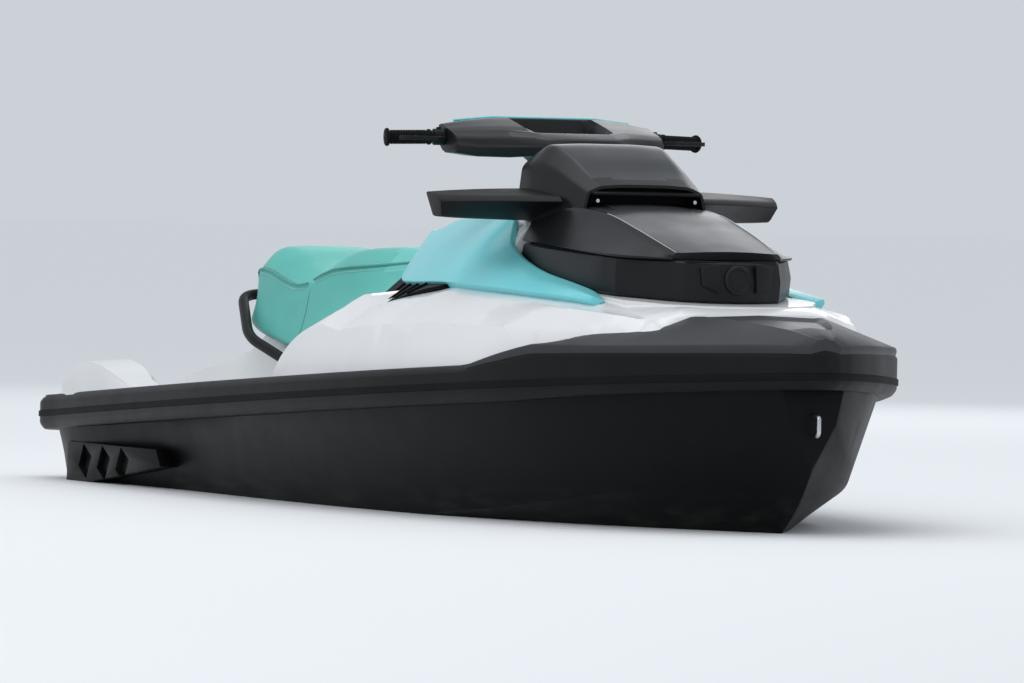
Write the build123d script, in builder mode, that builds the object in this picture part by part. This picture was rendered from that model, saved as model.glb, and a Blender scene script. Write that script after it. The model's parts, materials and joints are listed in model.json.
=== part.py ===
from build123d import *
import os
from math import atan2, cos, degrees, radians, sin

# A three-seat personal watercraft, in millimetres.
# x runs forward from the transom, y to port, z up from the waterline.

os.makedirs("parts", exist_ok=True)

# Overall lines
BOW_X = 3290.0
RAIL_OVERHANG = 30.0
JOIN_TRANSOM_Z = 168.0
JOIN_SLOPE = 0.060
SEAT_GAP = 0.3
PIN_FIT = 0.05
MOVE_GAP = 6.0

# Rub rail and gunwale
RAIL_DROP = 44.0
GUNWALE_RISE = 46.0
RAIL_DEPTH = 120.0
RAIL_EDGE = 9.0
RAIL_HALF_STERN = 565.0
RAIL_HALF_WAIST = 622.0
RAIL_HALF_SHOULDER = 565.0
STERN_CORNER = 110.0
SHOULDER_X = 2450.0
CHEEK_X = 3130.0
CHEEK_Y = 250.0
BUMPER_AFT_X = 2480.0
BUMPER_RISE = 87.0
BUMPER_RAMP = 160.0
BUMPER_KEEL = [(BOW_X + 10, 330.0), (2900.0, 306.0)]
CAP_TOP = [(2680.0, 432.0), (2790.0, 466.0), (2950.0, 487.0), (3120.0, 500.0), (BOW_X + 10, 478.0)]
CAP_TAPER = 45.0
CAP_HEIGHT = 150.0

# Hull stations: x, half width at the join, keel z, chine y, chine z
HULL_STATIONS = [
    (0.0, 515.0, -210.0, 470.0, -40.0),
    (700.0, 553.0, -210.0, 482.0, -35.0),
    (1500.0, 573.0, -208.0, 482.0, -25.0),
    (2100.0, 560.0, -195.0, 445.0, 0.0),
    (2550.0, 495.0, -160.0, 375.0, 45.0),
    (2900.0, 370.0, -85.0, 265.0, 105.0),
    (3120.0, 212.0, 30.0, 145.0, 185.0),
    (3220.0, 95.0, 150.0, 60.0, 250.0),
]

# Foredeck stations: x, base half width, knee y, knee z, shoulder y, shoulder z, crown y, crown z
FOREDECK_STATIONS = [
    (1500.0, 573.0, 570.0, 303.0, 545.0, 305.0, 260.0, 306.0),
    (1800.0, 570.0, 520.0, 470.0, 410.0, 535.0, 250.0, 565.0),
    (2100.0, 560.0, 492.0, 492.0, 400.0, 542.0, 250.0, 590.0),
    (2550.0, 495.0, 455.0, 490.0, 378.0, 538.0, 250.0, 570.0),
    (2900.0, 370.0, 338.0, 478.0, 312.0, 520.0, 200.0, 538.0),
    (3120.0, 205.0, 170.0, 468.0, 145.0, 492.0, 90.0, 500.0),
    (3220.0, 90.0, 70.0, 445.0, 50.0, 462.0, 25.0, 470.0),
]

# Pedestal under the seat: x, foot half width, top half width, top z
PEDESTAL_STATIONS = [
    (15.0, 225.0, 190.0, 252.0),
    (470.0, 240.0, 170.0, 345.0),
    (640.0, 245.0, 160.0, 430.0),
    (1100.0, 245.0, 160.0, 440.0),
    (1560.0, 245.0, 150.0, 520.0),
]

# Console between seat and hood: x, foot half width, foot z, top half width, top z
CONSOLE_STATIONS = [
    (1470.0, 210.0, 470.0, 95.0, 600.0),
    (1750.0, 320.0, 520.0, 130.0, 685.0),
    (2150.0, 360.0, 520.0, 190.0, 690.0),
]
CONSOLE_PANEL_GROW = 9.0
PANEL_OUTLINE = [(1700.0, 545.0), (1990.0, 690.0), (2140.0, 690.0), (2148.0, 500.0), (1800.0, 500.0)]

# Stern corner humps: x, inner y, outer y, top z
HUMP_STATIONS = [
    (8.0, 405.0, 500.0, 262.0),
    (120.0, 395.0, 498.0, 325.0),
    (290.0, 385.0, 490.0, 322.0),
    (450.0, 400.0, 470.0, 262.0),
]

# Footwells
FOOTWELL_AFT_X = 480.0
FOOTWELL_MOUTH_X = 1700.0
FOOTWELL_TOE_X = 1880.0
FOOTWELL_INNER_Y = 258.0
FOOTWELL_OUTER_Y = 465.0
FOOTWELL_DEPTH = 62.0
FOOTWELL_WALL = 10.0
TOE_TOP_RISE = 185.0
MAT_THICK = 6.0
MAT_MARGIN = 12.0
PLATFORM_MAT_X = 235.0
PLATFORM_MAT_Y = 303.0
PLATFORM_MAT_LENGTH = 390.0
PLATFORM_MAT_WIDTH = 100.0
RAMP_MAT_HALF = 145.0

# Jet drive
PUMP_Z = -45.0
PUMP_BORE_R = 80.0
PUMP_WALL = 10.0
PUMP_FRONT_X = 560.0
PUMP_AFT_X = 330.0
PUMP_FLANGE_R = 100.0
PUMP_FLANGE_THICK = 12.0
CONE_AFT_X = 222.0
CONE_BORE_R = 40.0
CONE_WALL = 6.0
PIVOT_X = 200.0
VANE_COUNT = 6
VANE_THICK = 4.0
VANE_AFT_X = 345.0
VANE_FRONT_X = 415.0
STATOR_HUB_R = 30.0
TUNNEL_HALF = 150.0
TUNNEL_ROOF_Z = 140.0
TUNNEL_STEP_X = 390.0
TUNNEL_STEP_Z = 75.0
TUNNEL_MOUTH_R = 30.0
DUCT_HALF = 80.0
DUCT_FRONT_X = 1000.0
DUCT_LIP_Z = -190.0
DUCT_HEEL_X = 640.0
KEEL_BELOW_Z = -240.0
SHAFT_R = 15.0
BLADE_COUNT = 3
BLADE_THICK = 5.0
BLADE_TIP_R = 77.0
IMPELLER_AFT_X = 430.0
IMPELLER_FRONT_X = 515.0
IMPELLER_HUB_R = 28.0
BLADE_TWIST = 75.0
BLADE_STEPS = 4

# Steering nozzle and reverse bucket
NOZZLE_BALL_R = 60.0
NOZZLE_WALL = 6.0
NOZZLE_FRONT_X = 208.0
NOZZLE_AFT_X = 60.0
NOZZLE_EXIT_R = 42.0
NOZZLE_PIN_R = 6.0
NOZZLE_LUG_GAP = 6.0
LUG_THICK = 8.0
LUG_HALF = 20.0
SIDE_LUG_Y = 84.0
SIDE_LUG_THICK = 12.0
LUG_AFT_X = 180.0
LUG_ROOT_X = 300.0
BUCKET_PIN_R = 7.0
BUCKET_R = 177.0
BUCKET_WALL = 12.0
BUCKET_HALF_HEIGHT = 80.0
BUCKET_ARM_Y = 100.0
BUCKET_ARM_THICK = 8.0
BUCKET_UP = 80.0

# Ride plate and intake grate
RIDE_PLATE_TOP_Z = -150.0
RIDE_PLATE_AFT_X = 60.0
RIDE_PLATE_FRONT_X = 545.0
GRATE_TOP_Z = -190.0
GRATE_DEPTH = 14.0
GRATE_BAR = 8.0
GRATE_BARS = 4
GRATE_RAIL = 16.0
GRATE_AFT_X = 650.0

# Engine bay
BAY_AFT_X = 1080.0
BAY_FRONT_X = 1850.0
BAY_HALF = 175.0
BAY_FLOOR_Z = -110.0
ENGINE_AFT_X = 1150.0
ENGINE_FRONT_X = 1800.0
ENGINE_HALF = 160.0
ENGINE_TOP_Z = 185.0
COUPLING_R = 40.0
COUPLING_THICK = 24.0

# Storage bin and hood
BIN_AFT_X = 2260.0
BIN_FRONT_X = 2790.0
BIN_HALF = 215.0
BIN_FLOOR_Z = 345.0
BIN_WALL = 4.0
HOOD_WALL = 10.0
HOOD_HINGE_X = 2935.0
BELT_X = 2480.0
BELT_Z = 674.0
BELT_SLOPE = -0.10

# Hood stations: x, sill half width, sill z, belt half width, belt z, crown half width, crown z
HOOD_STATIONS = [
    (2168.0, 270.0, 520.0, 250.0, 690.0, 150.0, 748.0),
    (2400.0, 305.0, 510.0, 275.0, 700.0, 150.0, 748.0),
    (2600.0, 325.0, 500.0, 290.0, 665.0, 150.0, 718.0),
    (2850.0, 262.0, 490.0, 245.0, 634.0, 130.0, 655.0),
    (2940.0, 170.0, 480.0, 165.0, 622.0, 100.0, 632.0),
]
NOSE_DISC_R = 37.0
NOSE_DISC_THICK = 8.0
NOSE_DISC_Z = 584.0

# Gauge cowl stations: x, foot half width, top half width, top z
COWL_STATIONS = [
    (2090.0, 190.0, 130.0, 822.0),
    (2180.0, 205.0, 150.0, 840.0),
    (2300.0, 190.0, 140.0, 838.0),
    (2425.0, 160.0, 120.0, 790.0),
]
COWL_FOOT_Z = 700.0
COWL_SLOT_AFT_X = 2330.0
COWL_SLOT_HEIGHT = 38.0
DISPLAY_HALF = 95.0
DISPLAY_HEIGHT = 62.0
DISPLAY_THICK = 8.0
DISPLAY_Z = 778.0
COWL_CUT_Z = 735.0

# Mirrors: y, aft x, front x, low z, high z
MIRROR_ROOT = (215.0, 2150.0, 2290.0, 697.0, 778.0)
MIRROR_TIP = (455.0, 2150.0, 2205.0, 732.0, 784.0)
GLASS_THICK = 4.0
GLASS_MARGIN = 8.0
GLASS_ROOT_Y = 262.0

# Glove box
GLOVE_AFT_X = 1510.0
GLOVE_FRONT_X = 1735.0
GLOVE_HALF = 85.0
GLOVE_DEPTH = 110.0
GLOVE_LID_MARGIN = 16.0
GLOVE_LID_THICK = 12.0
GLOVE_HINGE_R = 6.0

# Steering
STEER_X = 2010.0
STEER_Z = 800.0
STEER_TILT = 37.0
COLUMN_R = 17.0
COLUMN_LENGTH = 95.0
COVER_AFT_X = 1885.0
COVER_FRONT_X = 2075.0
COVER_HALF = 115.0
COVER_TOP_Z = 782.0
COVER_FOOT_Z = 640.0
BAR_R = 11.0
BAR_X = 1965.0
BAR_Z = 885.0
BAR_BEND_Y = 160.0
GRIP_R = 17.0
GRIP_END = (1925.0, 410.0, 878.0)
GRIP_LENGTH = 125.0
PAD_HALF = 200.0
CLAMP_R = 20.0
CLAMP_OFFSET = 135.0
CLAMP_LENGTH = 32.0
LEVER_REACH = 48.0
LEVER_THICK = 10.0
GRIP_CAP_R = 21.0
GRIP_CAP_THICK = 6.0
# Pad outlines, as (x, z) in its middle and at its ends
PAD_MIDDLE = [(1850.0, 836.0), (1800.0, 872.0), (1812.0, 922.0), (1900.0, 936.0), (2030.0, 905.0), (2036.0, 845.0)]
PAD_END = [(1852.0, 878.0), (1805.0, 900.0), (1800.0, 938.0), (1860.0, 946.0), (1978.0, 922.0), (1986.0, 888.0)]

# Seat stations: x, crown half width, crown z, side half width, side z, flap half width, flap z
SEAT_REAR_STATIONS = [
    (478.0, 110.0, 560.0, 150.0, 520.0, 165.0, 420.0),
    (620.0, 140.0, 614.0, 195.0, 560.0, 205.0, 400.0),
    (780.0, 140.0, 596.0, 200.0, 550.0, 210.0, 385.0),
    (900.0, 140.0, 598.0, 195.0, 560.0, 212.0, 372.0),
]
SEAT_FRONT_STATIONS = [
    (906.0, 140.0, 600.0, 195.0, 560.0, 212.0, 366.0),
    (1080.0, 135.0, 602.0, 185.0, 560.0, 208.0, 400.0),
    (1250.0, 125.0, 618.0, 165.0, 575.0, 205.0, 450.0),
    (1462.0, 85.0, 600.0, 110.0, 575.0, 150.0, 540.0),
]

# Grab handle
HANDLE_R = 14.0
HANDLE_HALF = [(790.0, 200.0, 325.0), (620.0, 238.0, 400.0), (418.0, 165.0, 492.0)]
HANDLE_BEND = 55.0

# Sponsons
SPONSON_AFT_X = 170.0
SPONSON_FRONT_X = 785.0
SPONSON_OUTER_Y = 552.0
SPONSON_INNER_Y = 420.0
SPONSON_AFT_Z = -18.0
SPONSON_FRONT_Z = 58.0
SPONSON_TOP_Z = 100.0
SPONSON_RIBS = 3
SPONSON_RIB_DEPTH = 16.0

# Boarding step and fittings
STEP_HALF = 185.0
STEP_PIVOT_Z = -52.0
STEP_LEG = 140.0
STEP_TUBE_R = 11.0
STEP_PIVOT_X = -20.0
STEP_PIN_R = 6.0
STEP_BEND = 40.0
BRACKET_THICK = 8.0
TOW_EYE_R = 5.0
TOW_EYE_HALF = 24.0
TOW_EYE_REACH = 30.0
TOW_EYE_X = -12.0
STERN_EYE_Y = 330.0
STERN_EYE_Z = 60.0
BOW_EYE_Z = 250.0


def join_z(x):
    """Height of the joint between hull and deck above the waterline."""
    return JOIN_TRANSOM_Z + JOIN_SLOPE * x


def both_sides(half):
    """Close a port half outline of (y, z) points with its mirror image."""
    return half + [(-y, z) for y, z in reversed(half) if y > 0]


JOIN = Plane(origin=(0, 0, JOIN_TRANSOM_Z), x_dir=(1, 0, JOIN_SLOPE), z_dir=(-JOIN_SLOPE, 0, 1))
SIDES = (("port", 1), ("starboard", -1))

# Hull: a deadrise bottom with hard chines, cut for the jet tunnel, duct, engine bay and footwells
with BuildPart() as hull:
    for x, side_y, keel_z, chine_y, chine_z in HULL_STATIONS:
        with BuildSketch(Plane.YZ.offset(x)):
            with BuildLine():
                Polyline(*both_sides([(0, keel_z), (chine_y, chine_z), (side_y, join_z(x) + RAIL_DROP)]), close=True)
            make_face()
    loft()
    split(bisect_by=JOIN, keep=Keep.BOTTOM)

with BuildPart() as hull_form:
    add(hull.part)

with BuildPart() as footwell_blocks:
    with BuildSketch(JOIN) as footwell_outer:
        for name, side in SIDES:
            with Locations(((FOOTWELL_AFT_X + FOOTWELL_TOE_X) / 2, side * (FOOTWELL_INNER_Y + FOOTWELL_OUTER_Y) / 2)):
                Rectangle(
                    FOOTWELL_TOE_X - FOOTWELL_AFT_X + 2 * FOOTWELL_WALL,
                    FOOTWELL_OUTER_Y - FOOTWELL_INNER_Y + 2 * FOOTWELL_WALL,
                )
    extrude(amount=-(FOOTWELL_DEPTH + FOOTWELL_WALL))

with hull:
    add(footwell_blocks.part, mode=Mode.SUBTRACT)
    with BuildSketch(Plane.YZ.offset(-1)):
        with Locations((0, (TUNNEL_ROOF_Z + KEEL_BELOW_Z) / 2)):
            Rectangle(2 * TUNNEL_HALF, TUNNEL_ROOF_Z - KEEL_BELOW_Z)
    extrude(amount=TUNNEL_STEP_X + 1, mode=Mode.SUBTRACT)
    with BuildSketch(Plane.YZ.offset(TUNNEL_STEP_X)):
        with Locations((0, (TUNNEL_STEP_Z + KEEL_BELOW_Z) / 2)):
            Rectangle(2 * TUNNEL_HALF, TUNNEL_STEP_Z - KEEL_BELOW_Z)
    extrude(amount=PUMP_FRONT_X - TUNNEL_STEP_X, mode=Mode.SUBTRACT)
    with BuildSketch(Plane.XZ):
        with BuildLine():
            Polyline(
                (PUMP_FRONT_X, PUMP_Z + PUMP_BORE_R),
                (DUCT_FRONT_X, DUCT_LIP_Z),
                (DUCT_FRONT_X, KEEL_BELOW_Z),
                (DUCT_HEEL_X, KEEL_BELOW_Z),
                (PUMP_FRONT_X, PUMP_Z - PUMP_BORE_R),
                close=True,
            )
        make_face()
    extrude(amount=DUCT_HALF, both=True, mode=Mode.SUBTRACT)
    with BuildSketch(Plane.XY.offset(BAY_FLOOR_Z)):
        with Locations(((BAY_AFT_X + BAY_FRONT_X) / 2, 0)):
            Rectangle(BAY_FRONT_X - BAY_AFT_X, 2 * BAY_HALF)
    extrude(amount=join_z(BAY_FRONT_X) - BAY_FLOOR_Z, mode=Mode.SUBTRACT)
    with BuildSketch(Plane.YZ.offset(PUMP_FRONT_X)):
        with Locations((0, PUMP_Z)):
            Circle(SHAFT_R + PIN_FIT)
    extrude(amount=BAY_AFT_X - PUMP_FRONT_X, mode=Mode.SUBTRACT)
hull.part.label = "hull"
export_step(hull.part, "parts/hull.step")

# Engine: one plain block on the floor of its bay
with BuildPart() as engine:
    with BuildSketch(Plane.XY.offset(BAY_FLOOR_Z)):
        with Locations(((ENGINE_AFT_X + ENGINE_FRONT_X) / 2, 0)):
            Rectangle(ENGINE_FRONT_X - ENGINE_AFT_X, 2 * ENGINE_HALF)
    extrude(amount=ENGINE_TOP_Z - BAY_FLOOR_Z)
    chamfer(engine.edges().filter_by(Axis.X).group_by(Axis.Z)[-1], 40)
engine.part.label = "engine"
export_step(engine.part, "parts/engine.step")

# Deck form: gunwale slab and foredeck, before anything is cut; the rail, hood and panels fit to it
with BuildPart() as foredeck:
    for x, base_y, knee_y, knee_z, shoulder_y, shoulder_z, crown_y, crown_z in FOREDECK_STATIONS:
        with BuildSketch(Plane.YZ.offset(x)):
            with BuildLine():
                half = [(base_y, join_z(x) - RAIL_DROP), (knee_y, knee_z), (shoulder_y, shoulder_z), (crown_y, crown_z)]
                Polyline(*both_sides(half), close=True)
            make_face()
    loft()

with BuildPart() as deck_form:
    for x, side_y, keel_z, chine_y, chine_z in HULL_STATIONS:
        with BuildSketch(Plane.YZ.offset(x)):
            with BuildLine():
                Polyline(*both_sides([(side_y, join_z(x) - RAIL_DROP), (side_y, join_z(x) + GUNWALE_RISE)]), close=True)
            make_face()
    loft()
    add(foredeck.part)
    split(bisect_by=JOIN, keep=Keep.TOP)

# Console form
with BuildPart() as console:
    for x, foot_y, foot_z, top_y, top_z in CONSOLE_STATIONS:
        with BuildSketch(Plane.YZ.offset(x)):
            with BuildLine():
                Polyline(*both_sides([(foot_y, foot_z - 60), (foot_y, foot_z), (top_y, top_z)]), close=True)
            make_face()
    loft()

# Deck: pedestal, stern humps and console over the deck form
with BuildPart() as deck:
    add(deck_form.part)
    for side in (1, -1):
        for x, inner_y, outer_y, top_z in HUMP_STATIONS:
            with BuildSketch(Plane.YZ.offset(x)):
                with BuildLine():
                    Polyline(
                        (side * (inner_y - 25), join_z(x)),
                        (side * inner_y, top_z),
                        (side * outer_y, top_z - 8),
                        (side * (outer_y + 6), join_z(x)),
                        close=True,
                    )
                make_face()
        loft()
    split(bisect_by=JOIN, keep=Keep.TOP)
    add(footwell_blocks.part)
    with BuildSketch(JOIN.offset(-FOOTWELL_DEPTH)):
        for side in (1, -1):
            with Locations(((FOOTWELL_AFT_X + FOOTWELL_MOUTH_X) / 2, side * (FOOTWELL_INNER_Y + FOOTWELL_OUTER_Y) / 2)):
                Rectangle(FOOTWELL_MOUTH_X - FOOTWELL_AFT_X, FOOTWELL_OUTER_Y - FOOTWELL_INNER_Y)
    extrude(amount=500, mode=Mode.SUBTRACT)
    with BuildSketch(JOIN.offset(-FOOTWELL_DEPTH)):
        for side in (1, -1):
            with Locations(((FOOTWELL_MOUTH_X + FOOTWELL_TOE_X) / 2, side * (FOOTWELL_INNER_Y + FOOTWELL_OUTER_Y) / 2)):
                Rectangle(FOOTWELL_TOE_X - FOOTWELL_MOUTH_X, FOOTWELL_OUTER_Y - FOOTWELL_INNER_Y)
    extrude(amount=TOE_TOP_RISE + FOOTWELL_DEPTH, mode=Mode.SUBTRACT)
    for x, foot_y, top_y, top_z in PEDESTAL_STATIONS:
        with BuildSketch(Plane.YZ.offset(x)):
            with BuildLine():
                Polyline(*both_sides([(foot_y, join_z(x)), (top_y, top_z)]), close=True)
            make_face()
    loft(ruled=True)
    add(console.part)
    with BuildSketch(Plane.XY.offset(BIN_FLOOR_Z)):
        with Locations(((BIN_AFT_X + BIN_FRONT_X) / 2, 0)):
            Rectangle(BIN_FRONT_X - BIN_AFT_X, 2 * BIN_HALF)
    extrude(amount=400, mode=Mode.SUBTRACT)

# The glove box lid lies on the sloping top of the console
console_slope = (CONSOLE_STATIONS[1][4] - CONSOLE_STATIONS[0][4]) / (CONSOLE_STATIONS[1][0] - CONSOLE_STATIONS[0][0])
glove_top_z = CONSOLE_STATIONS[0][4] + console_slope * (GLOVE_AFT_X - CONSOLE_STATIONS[0][0])
GLOVE = Plane(
    origin=(GLOVE_AFT_X, 0, glove_top_z + GLOVE_LID_THICK),
    x_dir=(1, 0, console_slope),
    z_dir=(-console_slope, 0, 1),
)
glove_length = GLOVE_FRONT_X - GLOVE_AFT_X

with deck:
    with BuildSketch(GLOVE):
        with Locations((glove_length / 2, 0)):
            Rectangle(glove_length, 2 * GLOVE_HALF)
    extrude(amount=-GLOVE_DEPTH, mode=Mode.SUBTRACT)
    with BuildSketch(GLOVE.offset(-GLOVE_LID_THICK)):
        with Locations((glove_length / 2, 0)):
            Rectangle(glove_length + 2 * GLOVE_LID_MARGIN, 2 * (GLOVE_HALF + GLOVE_LID_MARGIN))
    extrude(amount=100, mode=Mode.SUBTRACT)
deck.part.label = "deck"
export_step(deck.part, "parts/deck.step")

with BuildPart() as glove_box_lid:
    with BuildSketch(GLOVE.offset(-GLOVE_LID_THICK + SEAT_GAP)):
        with Locations((glove_length / 2, 0)):
            Rectangle(glove_length + 2 * GLOVE_LID_MARGIN - 4, 2 * (GLOVE_HALF + GLOVE_LID_MARGIN) - 4)
    extrude(amount=GLOVE_LID_THICK)
    fillet(glove_box_lid.edges().filter_by(lambda e: abs((e % 0.5).Y) < 0.1 and abs((e % 0.5).X) < 0.5), 14)
glove_box_lid.part.label = "glove_box_lid"
export_step(glove_box_lid.part, "parts/glove_box_lid.step")

# Plan outline of the rail and the bow bumper
with BuildSketch(JOIN) as rail_plan:
    with BuildLine():
        stern = Polyline((-RAIL_OVERHANG, 0), (-RAIL_OVERHANG, RAIL_HALF_STERN - STERN_CORNER))
        corner = TangentArc(stern @ 1, (STERN_CORNER - RAIL_OVERHANG, RAIL_HALF_STERN), tangent=(0, 1))
        waist = ThreePointArc(corner @ 1, (SHOULDER_X / 2, RAIL_HALF_WAIST), (SHOULDER_X, RAIL_HALF_SHOULDER))
        cheek = TangentArc(waist @ 1, (CHEEK_X, CHEEK_Y), tangent=waist % 1)
        nose = TangentArc(cheek @ 1, (BOW_X, 0), tangent=cheek % 1)
        mirror(about=Plane.XZ)
    make_face()

with BuildPart() as rub_rail:
    add(rail_plan.sketch)
    extrude(amount=GUNWALE_RISE)
    add(rail_plan.sketch)
    extrude(amount=-RAIL_DROP)
    split(bisect_by=Plane.YZ.offset(BUMPER_AFT_X), keep=Keep.BOTTOM)
    add(hull_form.part, mode=Mode.SUBTRACT)
    add(deck_form.part, mode=Mode.SUBTRACT)
rub_rail.part.label = "rub_rail"
export_step(rub_rail.part, "parts/rub_rail.step")

# Bow bumper: a deep black face that climbs from the rail, and a sloping cap on it
bumper_ramp_x = BUMPER_AFT_X + BUMPER_RAMP
bumper_face = [
    (BUMPER_AFT_X, join_z(BUMPER_AFT_X) - RAIL_DROP),
    (BUMPER_AFT_X, join_z(BUMPER_AFT_X) + GUNWALE_RISE),
    (bumper_ramp_x, join_z(bumper_ramp_x) + BUMPER_RISE),
    (BOW_X + 10, join_z(BOW_X + 10) + BUMPER_RISE),
]
with BuildPart() as bow_bumper:
    add(rail_plan.sketch)
    extrude(amount=250)
    add(rail_plan.sketch)
    extrude(amount=-RAIL_DROP - 60)
    with BuildSketch(Plane.XZ):
        with BuildLine():
            Polyline(*bumper_face, *BUMPER_KEEL, close=True)
        make_face()
    extrude(amount=RAIL_HALF_WAIST, both=True, mode=Mode.INTERSECT)
    add(hull_form.part, mode=Mode.SUBTRACT)
    add(deck_form.part, mode=Mode.SUBTRACT)
bow_bumper.part.label = "bow_bumper"
export_step(bow_bumper.part, "parts/bow_bumper.step")

with BuildPart() as bow_bumper_cap:
    add(rail_plan.sketch.moved(Location((0, 0, BUMPER_RISE))))
    extrude(amount=CAP_HEIGHT, taper=CAP_TAPER)
    with BuildSketch(Plane.XZ):
        with BuildLine():
            Polyline(bumper_face[2], bumper_face[3], *reversed(CAP_TOP), close=True)
        make_face()
    extrude(amount=RAIL_HALF_WAIST, both=True, mode=Mode.INTERSECT)
    add(deck_form.part, mode=Mode.SUBTRACT)
bow_bumper_cap.part.label = "bow_bumper_cap"
export_step(bow_bumper_cap.part, "parts/bow_bumper_cap.step")
print("bumper solids", [s.volume for s in bow_bumper.part.solids()], [s.volume for s in bow_bumper_cap.part.solids()])

# Side panels: a skin over each flank of the console, cut to its pointed outline
with BuildPart() as panel_form:
    for x, foot_y, foot_z, top_y, top_z in CONSOLE_STATIONS:
        grow = CONSOLE_PANEL_GROW
        with BuildSketch(Plane.YZ.offset(x)):
            with BuildLine():
                Polyline(*both_sides([(foot_y + grow, foot_z - 60), (foot_y + grow, foot_z), (top_y + grow, top_z)]), close=True)
            make_face()
    loft()
for name, side in SIDES:
    with BuildPart() as side_panel:
        with BuildSketch(Plane.XZ):
            with BuildLine():
                Polyline(*PANEL_OUTLINE, close=True)
            make_face()
        extrude(amount=-side * 500)
        add(panel_form.part, mode=Mode.INTERSECT)
        add(console.part, mode=Mode.SUBTRACT)
        add(deck_form.part, mode=Mode.SUBTRACT)
    side_panel.part.label = "side_panel_" + name
    export_step(side_panel.part, "parts/side_panel_" + name + ".step")
    print(side_panel.part.label, [round(s.volume) for s in side_panel.part.solids()])

# Storage bin: an open tub in the foredeck well
with BuildPart() as storage_bin:
    with BuildSketch(Plane.XY.offset(BIN_FLOOR_Z)):
        with Locations(((BIN_AFT_X + BIN_FRONT_X) / 2, 0)):
            Rectangle(BIN_FRONT_X - BIN_AFT_X, 2 * BIN_HALF)
    extrude(amount=400)
    add(foredeck.part, mode=Mode.INTERSECT)
    with BuildSketch(Plane.XY.offset(BIN_FLOOR_Z + BIN_WALL)):
        with Locations(((BIN_AFT_X + BIN_FRONT_X) / 2, 0)):
            Rectangle(BIN_FRONT_X - BIN_AFT_X - 2 * BIN_WALL, 2 * BIN_HALF - 2 * BIN_WALL)
    extrude(amount=400, mode=Mode.SUBTRACT)
storage_bin.part.label = "storage_bin"
export_step(storage_bin.part, "parts/storage_bin.step")

# Hood: a shell over the bin, split at its belt into a top and a lower skirt
with BuildPart() as hood_form:
    for x, sill_y, sill_z, belt_y, belt_z, crown_y, crown_z in HOOD_STATIONS:
        with BuildSketch(Plane.YZ.offset(x)):
            with BuildLine():
                Polyline(*both_sides([(sill_y, sill_z), (belt_y, belt_z), (crown_y, crown_z)]), close=True)
            make_face()
    loft()
    add(deck_form.part.moved(Location((0, 0, SEAT_GAP))), mode=Mode.SUBTRACT)

with BuildPart() as hood_shell:
    add(hood_form.part)
    for x, sill_y, sill_z, belt_y, belt_z, crown_y, crown_z in HOOD_STATIONS:
        inner_x = min(max(x, HOOD_STATIONS[0][0] + HOOD_WALL), HOOD_STATIONS[-1][0] - HOOD_WALL)
        with BuildSketch(Plane.YZ.offset(inner_x)):
            with BuildLine():
                half = [
                    (sill_y - HOOD_WALL, sill_z - HOOD_WALL),
                    (belt_y - HOOD_WALL, belt_z - HOOD_WALL / 2),
                    (crown_y - HOOD_WALL / 2, crown_z - HOOD_WALL),
                ]
                Polyline(*both_sides(half), close=True)
            make_face()
    loft(mode=Mode.SUBTRACT)

BELT = Plane(origin=(BELT_X, 0, BELT_Z), x_dir=(1, 0, BELT_SLOPE), z_dir=(-BELT_SLOPE, 0, 1))
for name, keep in (("hood", Keep.TOP), ("hood_skirt", Keep.BOTTOM)):
    with BuildPart() as hood_piece:
        add(hood_shell.part)
        split(bisect_by=BELT, keep=keep)
    hood_piece.part.label = name
    export_step(hood_piece.part, "parts/" + name + ".step")
    print(name, [round(s.volume) for s in hood_piece.part.solids()])

# A plain round disc on the skirt's nose
with BuildPart() as nose_disc:
    with BuildSketch(Plane.YZ.offset(HOOD_STATIONS[-1][0])):
        with Locations((0, NOSE_DISC_Z)):
            Circle(NOSE_DISC_R)
    extrude(amount=NOSE_DISC_THICK)
    chamfer(nose_disc.edges().group_by(Axis.X)[-1], NOSE_DISC_THICK / 3)
nose_disc.part.label = "nose_disc"
export_step(nose_disc.part, "parts/nose_disc.step")

# Gauge cowl on the hood, with a dark slot under its front lip
with BuildPart() as cowl_form:
    for x, foot_y, top_y, top_z in COWL_STATIONS:
        with BuildSketch(Plane.YZ.offset(x)):
            with BuildLine():
                Polyline(*both_sides([(foot_y, COWL_FOOT_Z), (top_y, top_z)]), close=True)
            make_face()
    loft()
with BuildPart() as gauge_cowl:
    add(cowl_form.part)
    add(hood_form.part, mode=Mode.SUBTRACT)
    with BuildSketch(Plane.XZ):
        slot_z = HOOD_STATIONS[1][6]
        with Locations((COWL_STATIONS[-1][0], slot_z)):
            Rectangle(2 * (COWL_STATIONS[-1][0] - COWL_SLOT_AFT_X), 2 * COWL_SLOT_HEIGHT)
    extrude(amount=COWL_STATIONS[-1][1], both=True, mode=Mode.SUBTRACT)
    split(bisect_by=Plane.XY.offset(COWL_CUT_Z), keep=Keep.TOP)
gauge_cowl.part.label = "gauge_cowl"
export_step(gauge_cowl.part, "parts/gauge_cowl.step")
print("cowl", [round(s.volume) for s in gauge_cowl.part.solids()])

with BuildPart() as gauge_display:
    with BuildSketch(Plane.YZ.offset(COWL_STATIONS[0][0])):
        with Locations((0, DISPLAY_Z)):
            RectangleRounded(2 * DISPLAY_HALF, DISPLAY_HEIGHT, 12)
    extrude(amount=-DISPLAY_THICK)
gauge_display.part.label = "gauge_display"
export_step(gauge_display.part, "parts/gauge_display.step")

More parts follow.
